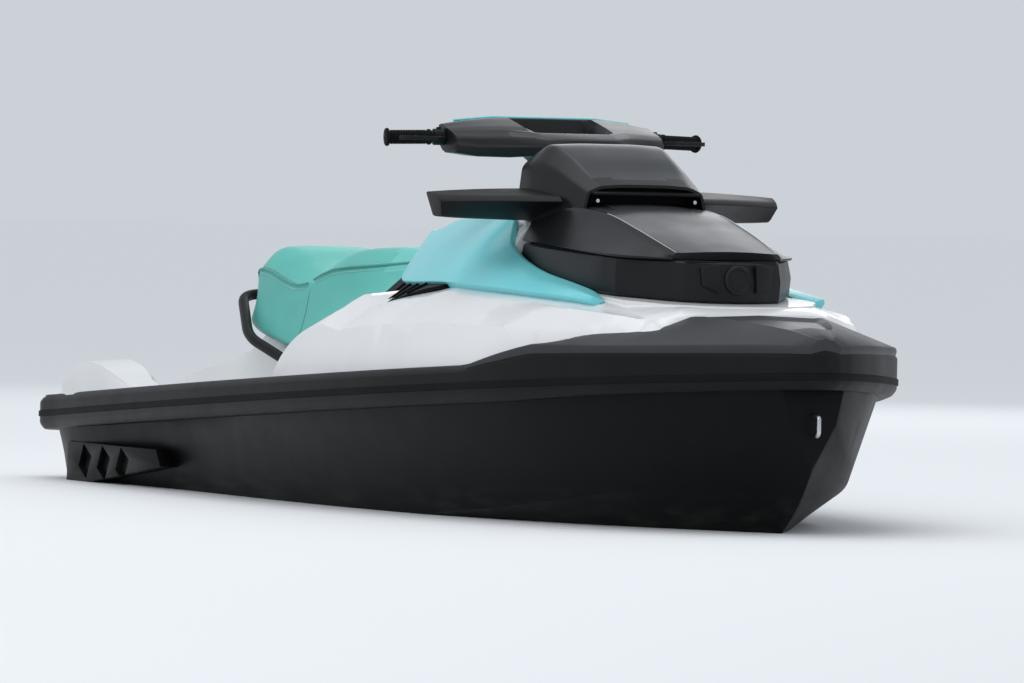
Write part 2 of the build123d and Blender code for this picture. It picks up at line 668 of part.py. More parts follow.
# Mirrors on the hood's flanks, each with its glass
for name, side in SIDES:
    with BuildPart() as mirror_housing:
        for y, aft_x, front_x, low_z, high_z in (MIRROR_ROOT, MIRROR_TIP):
            with BuildSketch(Plane.XZ.offset(-side * y)):
                with BuildLine():
                    Polyline(
                        (aft_x, low_z + 6),
                        (aft_x, high_z - 6),
                        (aft_x + 20, high_z),
                        (front_x, (low_z + high_z) / 2 + 8),
                        (front_x - 10, (low_z + high_z) / 2 - 10),
                        (aft_x + 20, low_z),
                        close=True,
                    )
                make_face()
        loft()
        add(hood_form.part, mode=Mode.SUBTRACT)
        add(cowl_form.part, mode=Mode.SUBTRACT)
    mirror_housing.part.label = "mirror_" + name
    export_step(mirror_housing.part, "parts/mirror_" + name + ".step")
    print(name, "mirror", [round(s.volume) for s in mirror_housing.part.solids()])
    with BuildPart() as mirror_glass:
        with BuildSketch(Plane.YZ.offset(MIRROR_ROOT[1])):
            with BuildLine():
                Polyline(
                    (side * GLASS_ROOT_Y, MIRROR_ROOT[3] + 2 * GLASS_MARGIN),
                    (side * (MIRROR_TIP[0] - GLASS_MARGIN), MIRROR_TIP[3] + GLASS_MARGIN),
                    (side * (MIRROR_TIP[0] - GLASS_MARGIN), MIRROR_TIP[4] - GLASS_MARGIN),
                    (side * GLASS_ROOT_Y, MIRROR_ROOT[4] - GLASS_MARGIN),
                    close=True,
                )
            make_face()
        extrude(amount=-GLASS_THICK)
    mirror_glass.part.label = "mirror_glass_" + name
    export_step(mirror_glass.part, "parts/mirror_glass_" + name + ".step")

# Seats: two saddles over the pedestal
for name, stations in (("seat_rear", SEAT_REAR_STATIONS), ("seat_front", SEAT_FRONT_STATIONS)):
    with BuildPart() as seat:
        for x, crown_y, crown_z, side_y, side_z, flap_y, flap_z in stations:
            with BuildSketch(Plane.YZ.offset(x)):
                with BuildLine():
                    Polyline(*both_sides([(flap_y, flap_z), (side_y, side_z), (crown_y, crown_z)]), close=True)
                make_face()
        loft()
        add(deck.part, mode=Mode.SUBTRACT)
    seat.part.label = name
    export_step(seat.part, "parts/" + name + ".step")
    print(name, [round(s.volume) for s in seat.part.solids()])

# Steering cover: the fixed fairing that carries the column
STEER = Plane(
    origin=(STEER_X, 0, STEER_Z),
    x_dir=(cos(radians(STEER_TILT)), 0, sin(radians(STEER_TILT))),
    z_dir=(-sin(radians(STEER_TILT)), 0, cos(radians(STEER_TILT))),
)
with BuildPart() as steering_cover:
    with BuildSketch(Plane.XY.offset(COVER_FOOT_Z)):
        with Locations(((COVER_AFT_X + COVER_FRONT_X) / 2, 0)):
            Rectangle(COVER_FRONT_X - COVER_AFT_X, 2 * COVER_HALF)
    extrude(amount=COVER_TOP_Z - COVER_FOOT_Z, taper=8)
    fillet(steering_cover.edges().filter_by(lambda e: abs((e % 0.5).Z) > 0.5), 25)
    add(console.part, mode=Mode.SUBTRACT)
    with BuildSketch(STEER.offset(-COLUMN_LENGTH - SEAT_GAP)):
        Circle(COLUMN_R + PIN_FIT)
    extrude(amount=2 * COLUMN_LENGTH, mode=Mode.SUBTRACT)
steering_cover.part.label = "steering_cover"
export_step(steering_cover.part, "parts/steering_cover.step")
print("cover", [round(s.volume) for s in steering_cover.part.solids()])

# Handlebar: a bent tube on its column
bar_half = [(BAR_X, BAR_BEND_Y, BAR_Z), GRIP_END]
with BuildPart() as handlebar:
    with BuildLine() as bar_path:
        FilletPolyline(
            (GRIP_END[0], -GRIP_END[1], GRIP_END[2]),
            (BAR_X, -BAR_BEND_Y, BAR_Z),
            (BAR_X, BAR_BEND_Y, BAR_Z),
            GRIP_END,
            radius=BAR_BEND_Y / 2,
        )
    with BuildSketch(Plane(origin=bar_path.line @ 0, z_dir=bar_path.line % 0)):
        Circle(BAR_R)
    sweep()
    with BuildSketch(STEER.offset(-COLUMN_LENGTH)):
        Circle(COLUMN_R)
    extrude(amount=COLUMN_LENGTH + (BAR_Z - STEER_Z) / cos(radians(STEER_TILT)))
handlebar.part.label = "handlebar"
export_step(handlebar.part, "parts/handlebar.step")

with BuildPart() as handlebar_pad:
    for side in (1, -1):
        for y, points in ((0, PAD_MIDDLE), (PAD_HALF, PAD_END)):
            with BuildSketch(Plane.XZ.offset(-side * y)):
                with BuildLine():
                    Polyline(*points, close=True)
                make_face()
        loft()
    add(handlebar.part, mode=Mode.SUBTRACT)
handlebar_pad.part.label = "handlebar_pad"
export_step(handlebar_pad.part, "parts/handlebar_pad.step")
print("pad", [round(s.volume) for s in handlebar_pad.part.solids()])

# Grips and levers
for name, side, lever_name in (("port", 1, "brake_lever"), ("starboard", -1, "throttle_lever")):
    run = Vector(GRIP_END[0] - BAR_X, side * (GRIP_END[1] - BAR_BEND_Y), GRIP_END[2] - BAR_Z).normalized()
    end = Vector(GRIP_END[0], side * GRIP_END[1], GRIP_END[2])
    grip_plane = Plane(origin=end, x_dir=(0, 0, 1), z_dir=run * -1)
    with BuildPart() as grip:
        with BuildSketch(grip_plane):
            Circle(GRIP_R)
        extrude(amount=GRIP_LENGTH)
        with BuildSketch(grip_plane.offset(-GRIP_CAP_THICK)):
            Circle(GRIP_CAP_R)
        extrude(amount=2 * GRIP_CAP_THICK)
        chamfer(grip.edges().filter_by(GeomType.CIRCLE).group_by(Axis.Y)[-1 if side > 0 else 0], 2)
        add(handlebar.part, mode=Mode.SUBTRACT)
    grip.part.label = "grip_" + name
    export_step(grip.part, "parts/grip_" + name + ".step")
    clamp_at = end - run * (CLAMP_OFFSET + CLAMP_LENGTH / 2)
    with BuildPart() as lever:
        with BuildSketch(grip_plane.offset(CLAMP_OFFSET)):
            Circle(CLAMP_R)
        extrude(amount=CLAMP_LENGTH)
        with BuildSketch(Plane.XY.offset(clamp_at.Z - LEVER_THICK / 2)):
            with BuildLine():
                Polyline(
                    (clamp_at.X, clamp_at.Y),
                    (clamp_at.X + LEVER_REACH - 10, clamp_at.Y + side * 4),
                    (clamp_at.X + LEVER_REACH, clamp_at.Y + side * 30),
                    (clamp_at.X + LEVER_REACH - 26, clamp_at.Y + side * 122),
                    (clamp_at.X + LEVER_REACH - 36, clamp_at.Y + side * 120),
                    (clamp_at.X + LEVER_REACH - 16, clamp_at.Y + side * 32),
                    close=True,
                )
            make_face()
        extrude(amount=LEVER_THICK)
        add(handlebar.part, mode=Mode.SUBTRACT)
    lever.part.label = lever_name
    export_step(lever.part, "parts/" + lever_name + ".step")
    print(lever_name, [round(s.volume) for s in lever.part.solids()])

# Grab handle: a hoop round the back of the rear seat
with BuildPart() as grab_handle:
    with BuildLine() as handle_path:
        FilletPolyline(*HANDLE_HALF, *[(x, -y, z) for x, y, z in reversed(HANDLE_HALF)], radius=HANDLE_BEND)
    with BuildSketch(Plane(origin=handle_path.line @ 0, z_dir=handle_path.line % 0)):
        Circle(HANDLE_R)
    sweep()
    add(deck.part, mode=Mode.SUBTRACT)
grab_handle.part.label = "grab_handle"
export_step(grab_handle.part, "parts/grab_handle.step")
print("handle", [round(s.volume) for s in grab_handle.part.solids()])

# Mats on the footwell floors and on the stern platform
footwell_length = FOOTWELL_TOE_X - FOOTWELL_AFT_X
for name, side in SIDES:
    with BuildPart() as footwell_mat:
        with BuildSketch(JOIN.offset(-FOOTWELL_DEPTH)):
            with Locations(((FOOTWELL_AFT_X + FOOTWELL_TOE_X) / 2, side * (FOOTWELL_INNER_Y + FOOTWELL_OUTER_Y) / 2)):
                RectangleRounded(
                    footwell_length - 2 * MAT_MARGIN, FOOTWELL_OUTER_Y - FOOTWELL_INNER_Y - 2 * MAT_MARGIN, MAT_MARGIN
                )
        extrude(amount=MAT_THICK)
    footwell_mat.part.label = "footwell_mat_" + name
    export_step(footwell_mat.part, "parts/footwell_mat_" + name + ".step")

ramp_run = PEDESTAL_STATIONS[1][0] - PEDESTAL_STATIONS[0][0]
ramp_rise = PEDESTAL_STATIONS[1][3] - PEDESTAL_STATIONS[0][3]
RAMP = Plane(origin=(PEDESTAL_STATIONS[0][0], 0, PEDESTAL_STATIONS[0][3]), x_dir=(ramp_run, 0, ramp_rise), z_dir=(-ramp_rise, 0, ramp_run))
with BuildPart() as platform_mats:
    with BuildSketch(JOIN.offset(GUNWALE_RISE)):
        for side in (1, -1):
            with Locations((PLATFORM_MAT_X, side * PLATFORM_MAT_Y)):
                RectangleRounded(PLATFORM_MAT_LENGTH, PLATFORM_MAT_WIDTH, MAT_MARGIN)
    extrude(amount=MAT_THICK)
    with BuildSketch(RAMP):
        with Locations((ramp_run / 2, 0)):
            RectangleRounded(ramp_run - 5 * MAT_MARGIN, 2 * RAMP_MAT_HALF, MAT_MARGIN)
    extrude(amount=MAT_THICK)
platform_mats.part.label = "platform_mats"
export_step(platform_mats.part, "parts/platform_mats.step")

# Sponsons low on the stern quarters, with slanting ribs
for name, side in SIDES:
    with BuildPart() as sponson:
        with BuildSketch(Plane.XZ.offset(-side * SPONSON_INNER_Y)):
            with BuildLine():
                Polyline(
                    (SPONSON_AFT_X, SPONSON_AFT_Z),
                    (SPONSON_FRONT_X, SPONSON_FRONT_Z),
                    (SPONSON_FRONT_X - 30, SPONSON_TOP_Z),
                    (SPONSON_AFT_X + 10, SPONSON_TOP_Z),
                    close=True,
                )
            make_face()
        extrude(amount=-side * (SPONSON_OUTER_Y - SPONSON_INNER_Y))
        rib_pitch = (SPONSON_FRONT_X - SPONSON_AFT_X) / (SPONSON_RIBS + 2)
        with BuildSketch(Plane.XZ.offset(-side * SPONSON_OUTER_Y)):
            for rib in range(SPONSON_RIBS):
                with Locations((SPONSON_AFT_X + rib_pitch * (rib + 1), (SPONSON_AFT_Z + SPONSON_TOP_Z) / 2 + 12)):
                    Rectangle(rib_pitch / 2, SPONSON_TOP_Z - SPONSON_AFT_Z - 50, rotation=-30)
        extrude(amount=side * SPONSON_RIB_DEPTH, mode=Mode.SUBTRACT)
        add(hull_form.part, mode=Mode.SUBTRACT)
    sponson.part.label = "sponson_" + name
    export_step(sponson.part, "parts/sponson_" + name + ".step")
    print("sponson", [round(s.volume) for s in sponson.part.solids()])

# Ride plate closes the tunnel from below, on the lines of the hull's bottom
with BuildPart() as ride_plate:
    with BuildSketch(Plane.XY.offset(KEEL_BELOW_Z)):
        with Locations(((RIDE_PLATE_AFT_X + RIDE_PLATE_FRONT_X) / 2, 0)):
            Rectangle(RIDE_PLATE_FRONT_X - RIDE_PLATE_AFT_X, 2 * TUNNEL_HALF)
    extrude(amount=RIDE_PLATE_TOP_Z - KEEL_BELOW_Z)
    add(hull_form.part, mode=Mode.INTERSECT)
ride_plate.part.label = "ride_plate"
export_step(ride_plate.part, "parts/ride_plate.step")

# Intake grate: fore-and-aft bars between two cross rails in the mouth of the duct
with BuildPart() as intake_grate:
    with BuildSketch(Plane.XY.offset(GRATE_TOP_Z - GRATE_DEPTH)):
        for x in (GRATE_AFT_X, DUCT_FRONT_X - GRATE_RAIL / 2):
            with Locations((x, 0)):
                Rectangle(GRATE_RAIL, 2 * DUCT_HALF)
        bar_length = DUCT_FRONT_X - GRATE_AFT_X
        with Locations(((GRATE_AFT_X + DUCT_FRONT_X) / 2, 0)):
            with GridLocations(0, 2 * DUCT_HALF / (GRATE_BARS + 1), 1, GRATE_BARS):
                Rectangle(bar_length, GRATE_BAR)
    extrude(amount=GRATE_DEPTH)
intake_grate.part.label = "intake_grate"
export_step(intake_grate.part, "parts/intake_grate.step")

# Pump housing: bore, reducing cone, stator vanes round a hub, and lugs for nozzle and bucket
pump_axis = Axis((0, 0, PUMP_Z), (1, 0, 0))
PUMP = Plane(origin=(0, 0, PUMP_Z), x_dir=(0, 1, 0), z_dir=(1, 0, 0))
ball_outer_r = NOZZLE_BALL_R + NOZZLE_WALL
lug_z = ball_outer_r + NOZZLE_LUG_GAP
pump_outer_r = PUMP_BORE_R + PUMP_WALL
with BuildPart() as pump_housing:
    with BuildSketch(Plane.XZ):
        with BuildLine():
            Polyline(
                (PUMP_FRONT_X, PUMP_Z + PUMP_FLANGE_R),
                (PUMP_FRONT_X - PUMP_FLANGE_THICK, PUMP_Z + PUMP_FLANGE_R),
                (PUMP_FRONT_X - PUMP_FLANGE_THICK, PUMP_Z + pump_outer_r),
                (PUMP_AFT_X, PUMP_Z + pump_outer_r),
                (CONE_AFT_X, PUMP_Z + CONE_BORE_R + CONE_WALL),
                (CONE_AFT_X, PUMP_Z + CONE_BORE_R),
                (PUMP_AFT_X, PUMP_Z + PUMP_BORE_R),
                (PUMP_FRONT_X, PUMP_Z + PUMP_BORE_R),
                close=True,
            )
        make_face()
    revolve(axis=pump_axis)
    with BuildSketch(Plane.XZ):
        with BuildLine():
            Polyline(
                (VANE_AFT_X - 3 * STATOR_HUB_R, PUMP_Z),
                (VANE_AFT_X - 3 * STATOR_HUB_R, PUMP_Z + 6),
                (VANE_AFT_X, PUMP_Z + STATOR_HUB_R),
                (IMPELLER_AFT_X - 2, PUMP_Z + STATOR_HUB_R),
                (IMPELLER_AFT_X - 2, PUMP_Z),
                close=True,
            )
        make_face()
    revolve(axis=pump_axis)
    with BuildSketch(PUMP.offset(VANE_AFT_X)):
        with PolarLocations((STATOR_HUB_R + PUMP_BORE_R) / 2, VANE_COUNT):
            Rectangle(PUMP_BORE_R - STATOR_HUB_R + 4, VANE_THICK)
    extrude(amount=VANE_FRONT_X - VANE_AFT_X)
    for side in (1, -1):
        with BuildSketch(Plane.XY.offset(PUMP_Z + side * lug_z)):
            with Locations(((LUG_AFT_X + LUG_ROOT_X) / 2, 0)):
                Rectangle(LUG_ROOT_X - LUG_AFT_X, 2 * LUG_HALF)
            with Locations((PIVOT_X, 0)):
                Circle(NOZZLE_PIN_R + PIN_FIT, mode=Mode.SUBTRACT)
        extrude(amount=side * LUG_THICK)
        with BuildSketch(Plane.XZ.offset(-side * SIDE_LUG_Y)):
            with Locations(((LUG_AFT_X + PUMP_AFT_X) / 2 + LUG_HALF, PUMP_Z)):
                Rectangle(PUMP_AFT_X - LUG_AFT_X + 2 * LUG_HALF, 2 * LUG_HALF)
        extrude(amount=-side * SIDE_LUG_THICK)
        with BuildSketch(Plane.XZ.offset(-side * SIDE_LUG_Y)):
            with Locations((PIVOT_X, PUMP_Z)):
                Circle(BUCKET_PIN_R)
        extrude(amount=-side * (BUCKET_ARM_Y + BUCKET_ARM_THICK + 6 - SIDE_LUG_Y))
pump_housing.part.label = "pump_housing"
export_step(pump_housing.part, "parts/pump_housing.step")
print("pump", [round(s.volume) for s in pump_housing.part.solids()])

# Impeller: pitched blades on a hub, with its drive shaft and coupling
with BuildPart() as impeller:
    with BuildSketch(PUMP.offset(IMPELLER_AFT_X)):
        Circle(IMPELLER_HUB_R)
    extrude(amount=IMPELLER_FRONT_X - IMPELLER_AFT_X)
    chamfer(impeller.edges().group_by(Axis.X)[-1], IMPELLER_HUB_R / 4)
    blade_root = IMPELLER_HUB_R - 4
    for blade in range(BLADE_COUNT):
        for step in range(BLADE_STEPS + 1):
            share = step / BLADE_STEPS
            angle = 360 / BLADE_COUNT * blade + BLADE_TWIST * share
            blade_x = IMPELLER_AFT_X + 4 + (IMPELLER_FRONT_X - IMPELLER_AFT_X - 16) * share
            with BuildSketch(PUMP.offset(blade_x)):
                with PolarLocations((blade_root + BLADE_TIP_R) / 2, 1, angle):
                    Rectangle(BLADE_TIP_R - blade_root, BLADE_THICK)
        loft()
    with BuildSketch(PUMP.offset(IMPELLER_FRONT_X - 10)):
        Circle(SHAFT_R)
    extrude(amount=ENGINE_AFT_X - SEAT_GAP - IMPELLER_FRONT_X + 10)
    with BuildSketch(PUMP.offset(ENGINE_AFT_X - SEAT_GAP - COUPLING_THICK)):
        Circle(COUPLING_R)
    extrude(amount=COUPLING_THICK)
impeller.part.label = "impeller"
export_step(impeller.part, "parts/impeller.step")
print("impeller", [round(s.volume) for s in impeller.part.solids()])

# Steering nozzle: a ball-mouthed nozzle on two upright pins
ball_mouth = NOZZLE_FRONT_X - PIVOT_X
ball_tail = 2 * NOZZLE_BALL_R / 3
inner_mouth_r = (NOZZLE_BALL_R**2 - ball_mouth**2) ** 0.5
outer_mouth_r = (ball_outer_r**2 - ball_mouth**2) ** 0.5
inner_tail_r = (NOZZLE_BALL_R**2 - ball_tail**2) ** 0.5
outer_tail_r = (ball_outer_r**2 - ball_tail**2) ** 0.5
with BuildPart() as steering_nozzle:
    with BuildSketch(Plane.XZ):
        with BuildLine():
            RadiusArc(
                (PIVOT_X - ball_tail, PUMP_Z + inner_tail_r), (NOZZLE_FRONT_X, PUMP_Z + inner_mouth_r), NOZZLE_BALL_R
            )
            Line((NOZZLE_FRONT_X, PUMP_Z + inner_mouth_r), (NOZZLE_FRONT_X, PUMP_Z + outer_mouth_r))
            RadiusArc(
                (PIVOT_X - ball_tail, PUMP_Z + outer_tail_r), (NOZZLE_FRONT_X, PUMP_Z + outer_mouth_r), ball_outer_r
            )
            Polyline(
                (PIVOT_X - ball_tail, PUMP_Z + outer_tail_r),
                (NOZZLE_AFT_X, PUMP_Z + NOZZLE_EXIT_R + NOZZLE_WALL),
                (NOZZLE_AFT_X, PUMP_Z + NOZZLE_EXIT_R),
                (PIVOT_X - ball_tail, PUMP_Z + inner_tail_r),
            )
        make_face()
    revolve(axis=pump_axis)
    for side in (1, -1):
        with BuildSketch(Plane.XY.offset(PUMP_Z + side * (NOZZLE_BALL_R + 2))):
            with Locations((PIVOT_X, 0)):
                Circle(NOZZLE_PIN_R)
        extrude(amount=side * (lug_z + LUG_THICK + 2 - NOZZLE_BALL_R - 2))
steering_nozzle.part.label = "steering_nozzle"
export_step(steering_nozzle.part, "parts/steering_nozzle.step")
print("nozzle", [round(s.volume) for s in steering_nozzle.part.solids()], steering_nozzle.part.bounding_box())

# Reverse bucket: a curved gate on two arms, stowed above the nozzle
bucket_half_angle = degrees(atan2(BUCKET_HALF_HEIGHT, (BUCKET_R**2 - BUCKET_HALF_HEIGHT**2) ** 0.5))
bucket_mid = 180 - BUCKET_UP
BUCKET = Plane(origin=(PIVOT_X, 0, PUMP_Z), x_dir=(1, 0, 0), z_dir=(0, -1, 0))
bucket_outer_y = BUCKET_ARM_Y + BUCKET_ARM_THICK
with BuildPart() as reverse_bucket:
    with BuildSketch(BUCKET):
        with BuildLine():
            outer = CenterArc((0, 0), BUCKET_R, bucket_mid - bucket_half_angle, 2 * bucket_half_angle)
            inner = CenterArc((0, 0), BUCKET_R - BUCKET_WALL, bucket_mid - bucket_half_angle, 2 * bucket_half_angle)
            Line(outer @ 0, inner @ 0)
            Line(outer @ 1, inner @ 1)
        make_face()
    extrude(amount=bucket_outer_y, both=True)
    for side in (1, -1):
        with BuildSketch(BUCKET.offset(-side * BUCKET_ARM_Y)):
            with PolarLocations((BUCKET_R - BUCKET_WALL / 2) / 2, 1, bucket_mid):
                Rectangle(BUCKET_R - BUCKET_WALL / 2, 2 * LUG_HALF)
            Circle(LUG_HALF)
            Circle(BUCKET_PIN_R + PIN_FIT, mode=Mode.SUBTRACT)
        extrude(amount=-side * BUCKET_ARM_THICK)
reverse_bucket.part.label = "reverse_bucket"
export_step(reverse_bucket.part, "parts/reverse_bucket.step")
print("bucket", [round(s.volume) for s in reverse_bucket.part.solids()], reverse_bucket.part.bounding_box())

# Boarding step: a hinged hoop stowed against the transom, and its brackets
with BuildPart() as boarding_step:
    with BuildLine() as step_path:
        FilletPolyline(
            (STEP_PIVOT_X, STEP_HALF, STEP_PIVOT_Z),
            (STEP_PIVOT_X, STEP_HALF, STEP_PIVOT_Z + STEP_LEG),
            (STEP_PIVOT_X, -STEP_HALF, STEP_PIVOT_Z + STEP_LEG),
            (STEP_PIVOT_X, -STEP_HALF, STEP_PIVOT_Z),
            radius=STEP_BEND,
        )
    with BuildSketch(Plane(origin=step_path.line @ 0, z_dir=step_path.line % 0)):
        Circle(STEP_TUBE_R)
    sweep()
    for side in (1, -1):
        with BuildSketch(Plane.XZ.offset(-side * STEP_HALF)):
            with Locations((STEP_PIVOT_X, STEP_PIVOT_Z)):
                Circle(STEP_TUBE_R + 2)
        extrude(amount=STEP_TUBE_R, both=True)
        with BuildSketch(Plane.XZ.offset(-side * STEP_HALF)):
            with Locations((STEP_PIVOT_X, STEP_PIVOT_Z)):
                Circle(STEP_PIN_R + PIN_FIT)
        extrude(amount=2 * STEP_TUBE_R, both=True, mode=Mode.SUBTRACT)
boarding_step.part.label = "boarding_step"
export_step(boarding_step.part, "parts/boarding_step.step")

with BuildPart() as step_brackets:
    for side in (1, -1):
        for offset_y in (-1, 1):
            cheek_y = side * STEP_HALF + offset_y * (STEP_TUBE_R + 0.5 + BRACKET_THICK / 2)
            with BuildSketch(Plane.XZ.offset(-cheek_y)):
                with Locations(((STEP_PIVOT_X - STEP_TUBE_R) / 2, STEP_PIVOT_Z)):
                    Rectangle(-(STEP_PIVOT_X - STEP_TUBE_R), 2 * STEP_TUBE_R)
            extrude(amount=BRACKET_THICK / 2, both=True)
        with BuildSketch(Plane.XZ.offset(-side * STEP_HALF)):
            with Locations((STEP_PIVOT_X, STEP_PIVOT_Z)):
                Circle(STEP_PIN_R)
        extrude(amount=STEP_TUBE_R + 1 + BRACKET_THICK, both=True)
step_brackets.part.label = "step_brackets"
export_step(step_brackets.part, "parts/step_brackets.step")
print("brackets", [round(s.volume) for s in step_brackets.part.solids()])

# Towing and mooring eyes: bent rods on the stern, the transom and the stem
tow_base_z = join_z(TOW_EYE_X) + GUNWALE_RISE + SEAT_GAP + JOIN_SLOPE * TOW_EYE_R
stem_x = HULL_STATIONS[-1][0]
eye_paths = [
    (
        "tow_eye",
        [
            [
                (TOW_EYE_X, -TOW_EYE_HALF, tow_base_z),
                (TOW_EYE_X, -TOW_EYE_HALF, tow_base_z + TOW_EYE_REACH),
                (TOW_EYE_X, TOW_EYE_HALF, tow_base_z + TOW_EYE_REACH),
                (TOW_EYE_X, TOW_EYE_HALF, tow_base_z),
            ]
        ],
    ),
    (
        "stern_eyes",
        [
            [
                (0, side * STERN_EYE_Y - TOW_EYE_HALF, STERN_EYE_Z),
                (-TOW_EYE_REACH, side * STERN_EYE_Y - TOW_EYE_HALF, STERN_EYE_Z),
                (-TOW_EYE_REACH, side * STERN_EYE_Y + TOW_EYE_HALF, STERN_EYE_Z),
                (0, side * STERN_EYE_Y + TOW_EYE_HALF, STERN_EYE_Z),
            ]
            for side in (1, -1)
        ],
    ),
    (
        "bow_eye",
        [
            [
                (stem_x, 0, BOW_EYE_Z - TOW_EYE_HALF),
                (stem_x + TOW_EYE_REACH, 0, BOW_EYE_Z - TOW_EYE_HALF),
                (stem_x + TOW_EYE_REACH, 0, BOW_EYE_Z + TOW_EYE_HALF),
                (stem_x, 0, BOW_EYE_Z + TOW_EYE_HALF),
            ]
        ],
    ),
]
for name, paths in eye_paths:
    with BuildPart() as eyes:
        for points in paths:
            with BuildLine() as eye_path:
                FilletPolyline(*points, radius=TOW_EYE_HALF / 2)
            with BuildSketch(Plane(origin=eye_path.line @ 0, z_dir=eye_path.line % 0)):
                Circle(TOW_EYE_R)
            sweep()
    eyes.part.label = name
    export_step(eyes.part, "parts/" + name + ".step")
    print(name, [round(s.volume) for s in eyes.part.solids()])
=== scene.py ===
"""Finish of a three-seat personal watercraft: hull, deck, hood, helm, seats, jet drive and fittings.

Lengths are in metres. x runs forward from the transom, y to port and z up from the waterline.
"""

import json
import logging
import math
from collections.abc import Callable, Sequence
from dataclasses import dataclass
from enum import Enum
from functools import cache

import bmesh
import bpy
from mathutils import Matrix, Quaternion, Vector

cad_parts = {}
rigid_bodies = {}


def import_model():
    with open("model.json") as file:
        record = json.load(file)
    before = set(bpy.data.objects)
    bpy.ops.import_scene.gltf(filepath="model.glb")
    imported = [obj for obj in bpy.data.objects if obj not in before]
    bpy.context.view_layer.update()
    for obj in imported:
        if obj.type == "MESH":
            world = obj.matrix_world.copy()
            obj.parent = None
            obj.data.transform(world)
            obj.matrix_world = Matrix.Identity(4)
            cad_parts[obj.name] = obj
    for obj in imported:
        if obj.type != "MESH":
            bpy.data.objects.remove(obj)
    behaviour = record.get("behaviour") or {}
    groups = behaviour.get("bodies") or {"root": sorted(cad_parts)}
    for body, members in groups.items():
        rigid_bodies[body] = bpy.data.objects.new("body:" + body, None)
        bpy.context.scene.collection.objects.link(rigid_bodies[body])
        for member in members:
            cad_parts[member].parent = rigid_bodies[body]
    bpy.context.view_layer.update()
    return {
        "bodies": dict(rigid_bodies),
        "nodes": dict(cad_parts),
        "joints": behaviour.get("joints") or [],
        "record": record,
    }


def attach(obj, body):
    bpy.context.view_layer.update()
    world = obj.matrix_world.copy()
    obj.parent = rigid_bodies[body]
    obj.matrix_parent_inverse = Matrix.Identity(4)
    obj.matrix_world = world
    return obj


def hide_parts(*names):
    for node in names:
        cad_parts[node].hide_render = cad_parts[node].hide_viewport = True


LOG = logging.getLogger("watercraft")

Flat = tuple[float, float]
Point = tuple[float, float, float]
Colour = tuple[float, float, float]
Row = tuple[float, ...]


class Side(Enum):
    """The two sides of the craft, by the sign of y."""

    PORT = 1
    STARBOARD = -1

    @property
    def word(self) -> str:
        """The side's name as node names spell it."""
        return self.name.lower()


class Grain(Enum):
    """Surface textures that the finishes share."""

    SMOOTH = "smooth"
    MOULDED = "moulded"
    VINYL = "vinyl"
    CAST = "cast"
    BRUSHED = "brushed"
    RIBBED = "ribbed"


@dataclass(frozen=True)
class Finish:
    """One painted, moulded, sewn or metal finish.

    The colour is linear, and scale is the size of the grain in metres. A finish that is a shade of
    another names it as its family.
    """

    slot: str
    colour: Colour
    roughness: float
    grain: Grain = Grain.MOULDED
    scale: float = 0.0012
    relief: float = 0.12
    metallic: float = 0.0
    coat: float = 0.0
    tone: float = 0.10
    wear: float = 0.0
    wear_colour: Colour = (0.30, 0.30, 0.29)
    water_film: float = 0.0
    specular: float = 0.5
    family: str = ""

    def material(self) -> bpy.types.Material:
        """The finish as a node material, made once."""
        return made_material(self)


@cache
def made_material(finish: Finish) -> bpy.types.Material:
    """The node material of a finish, built on its first use."""
    return FinishMaker(finish).build()


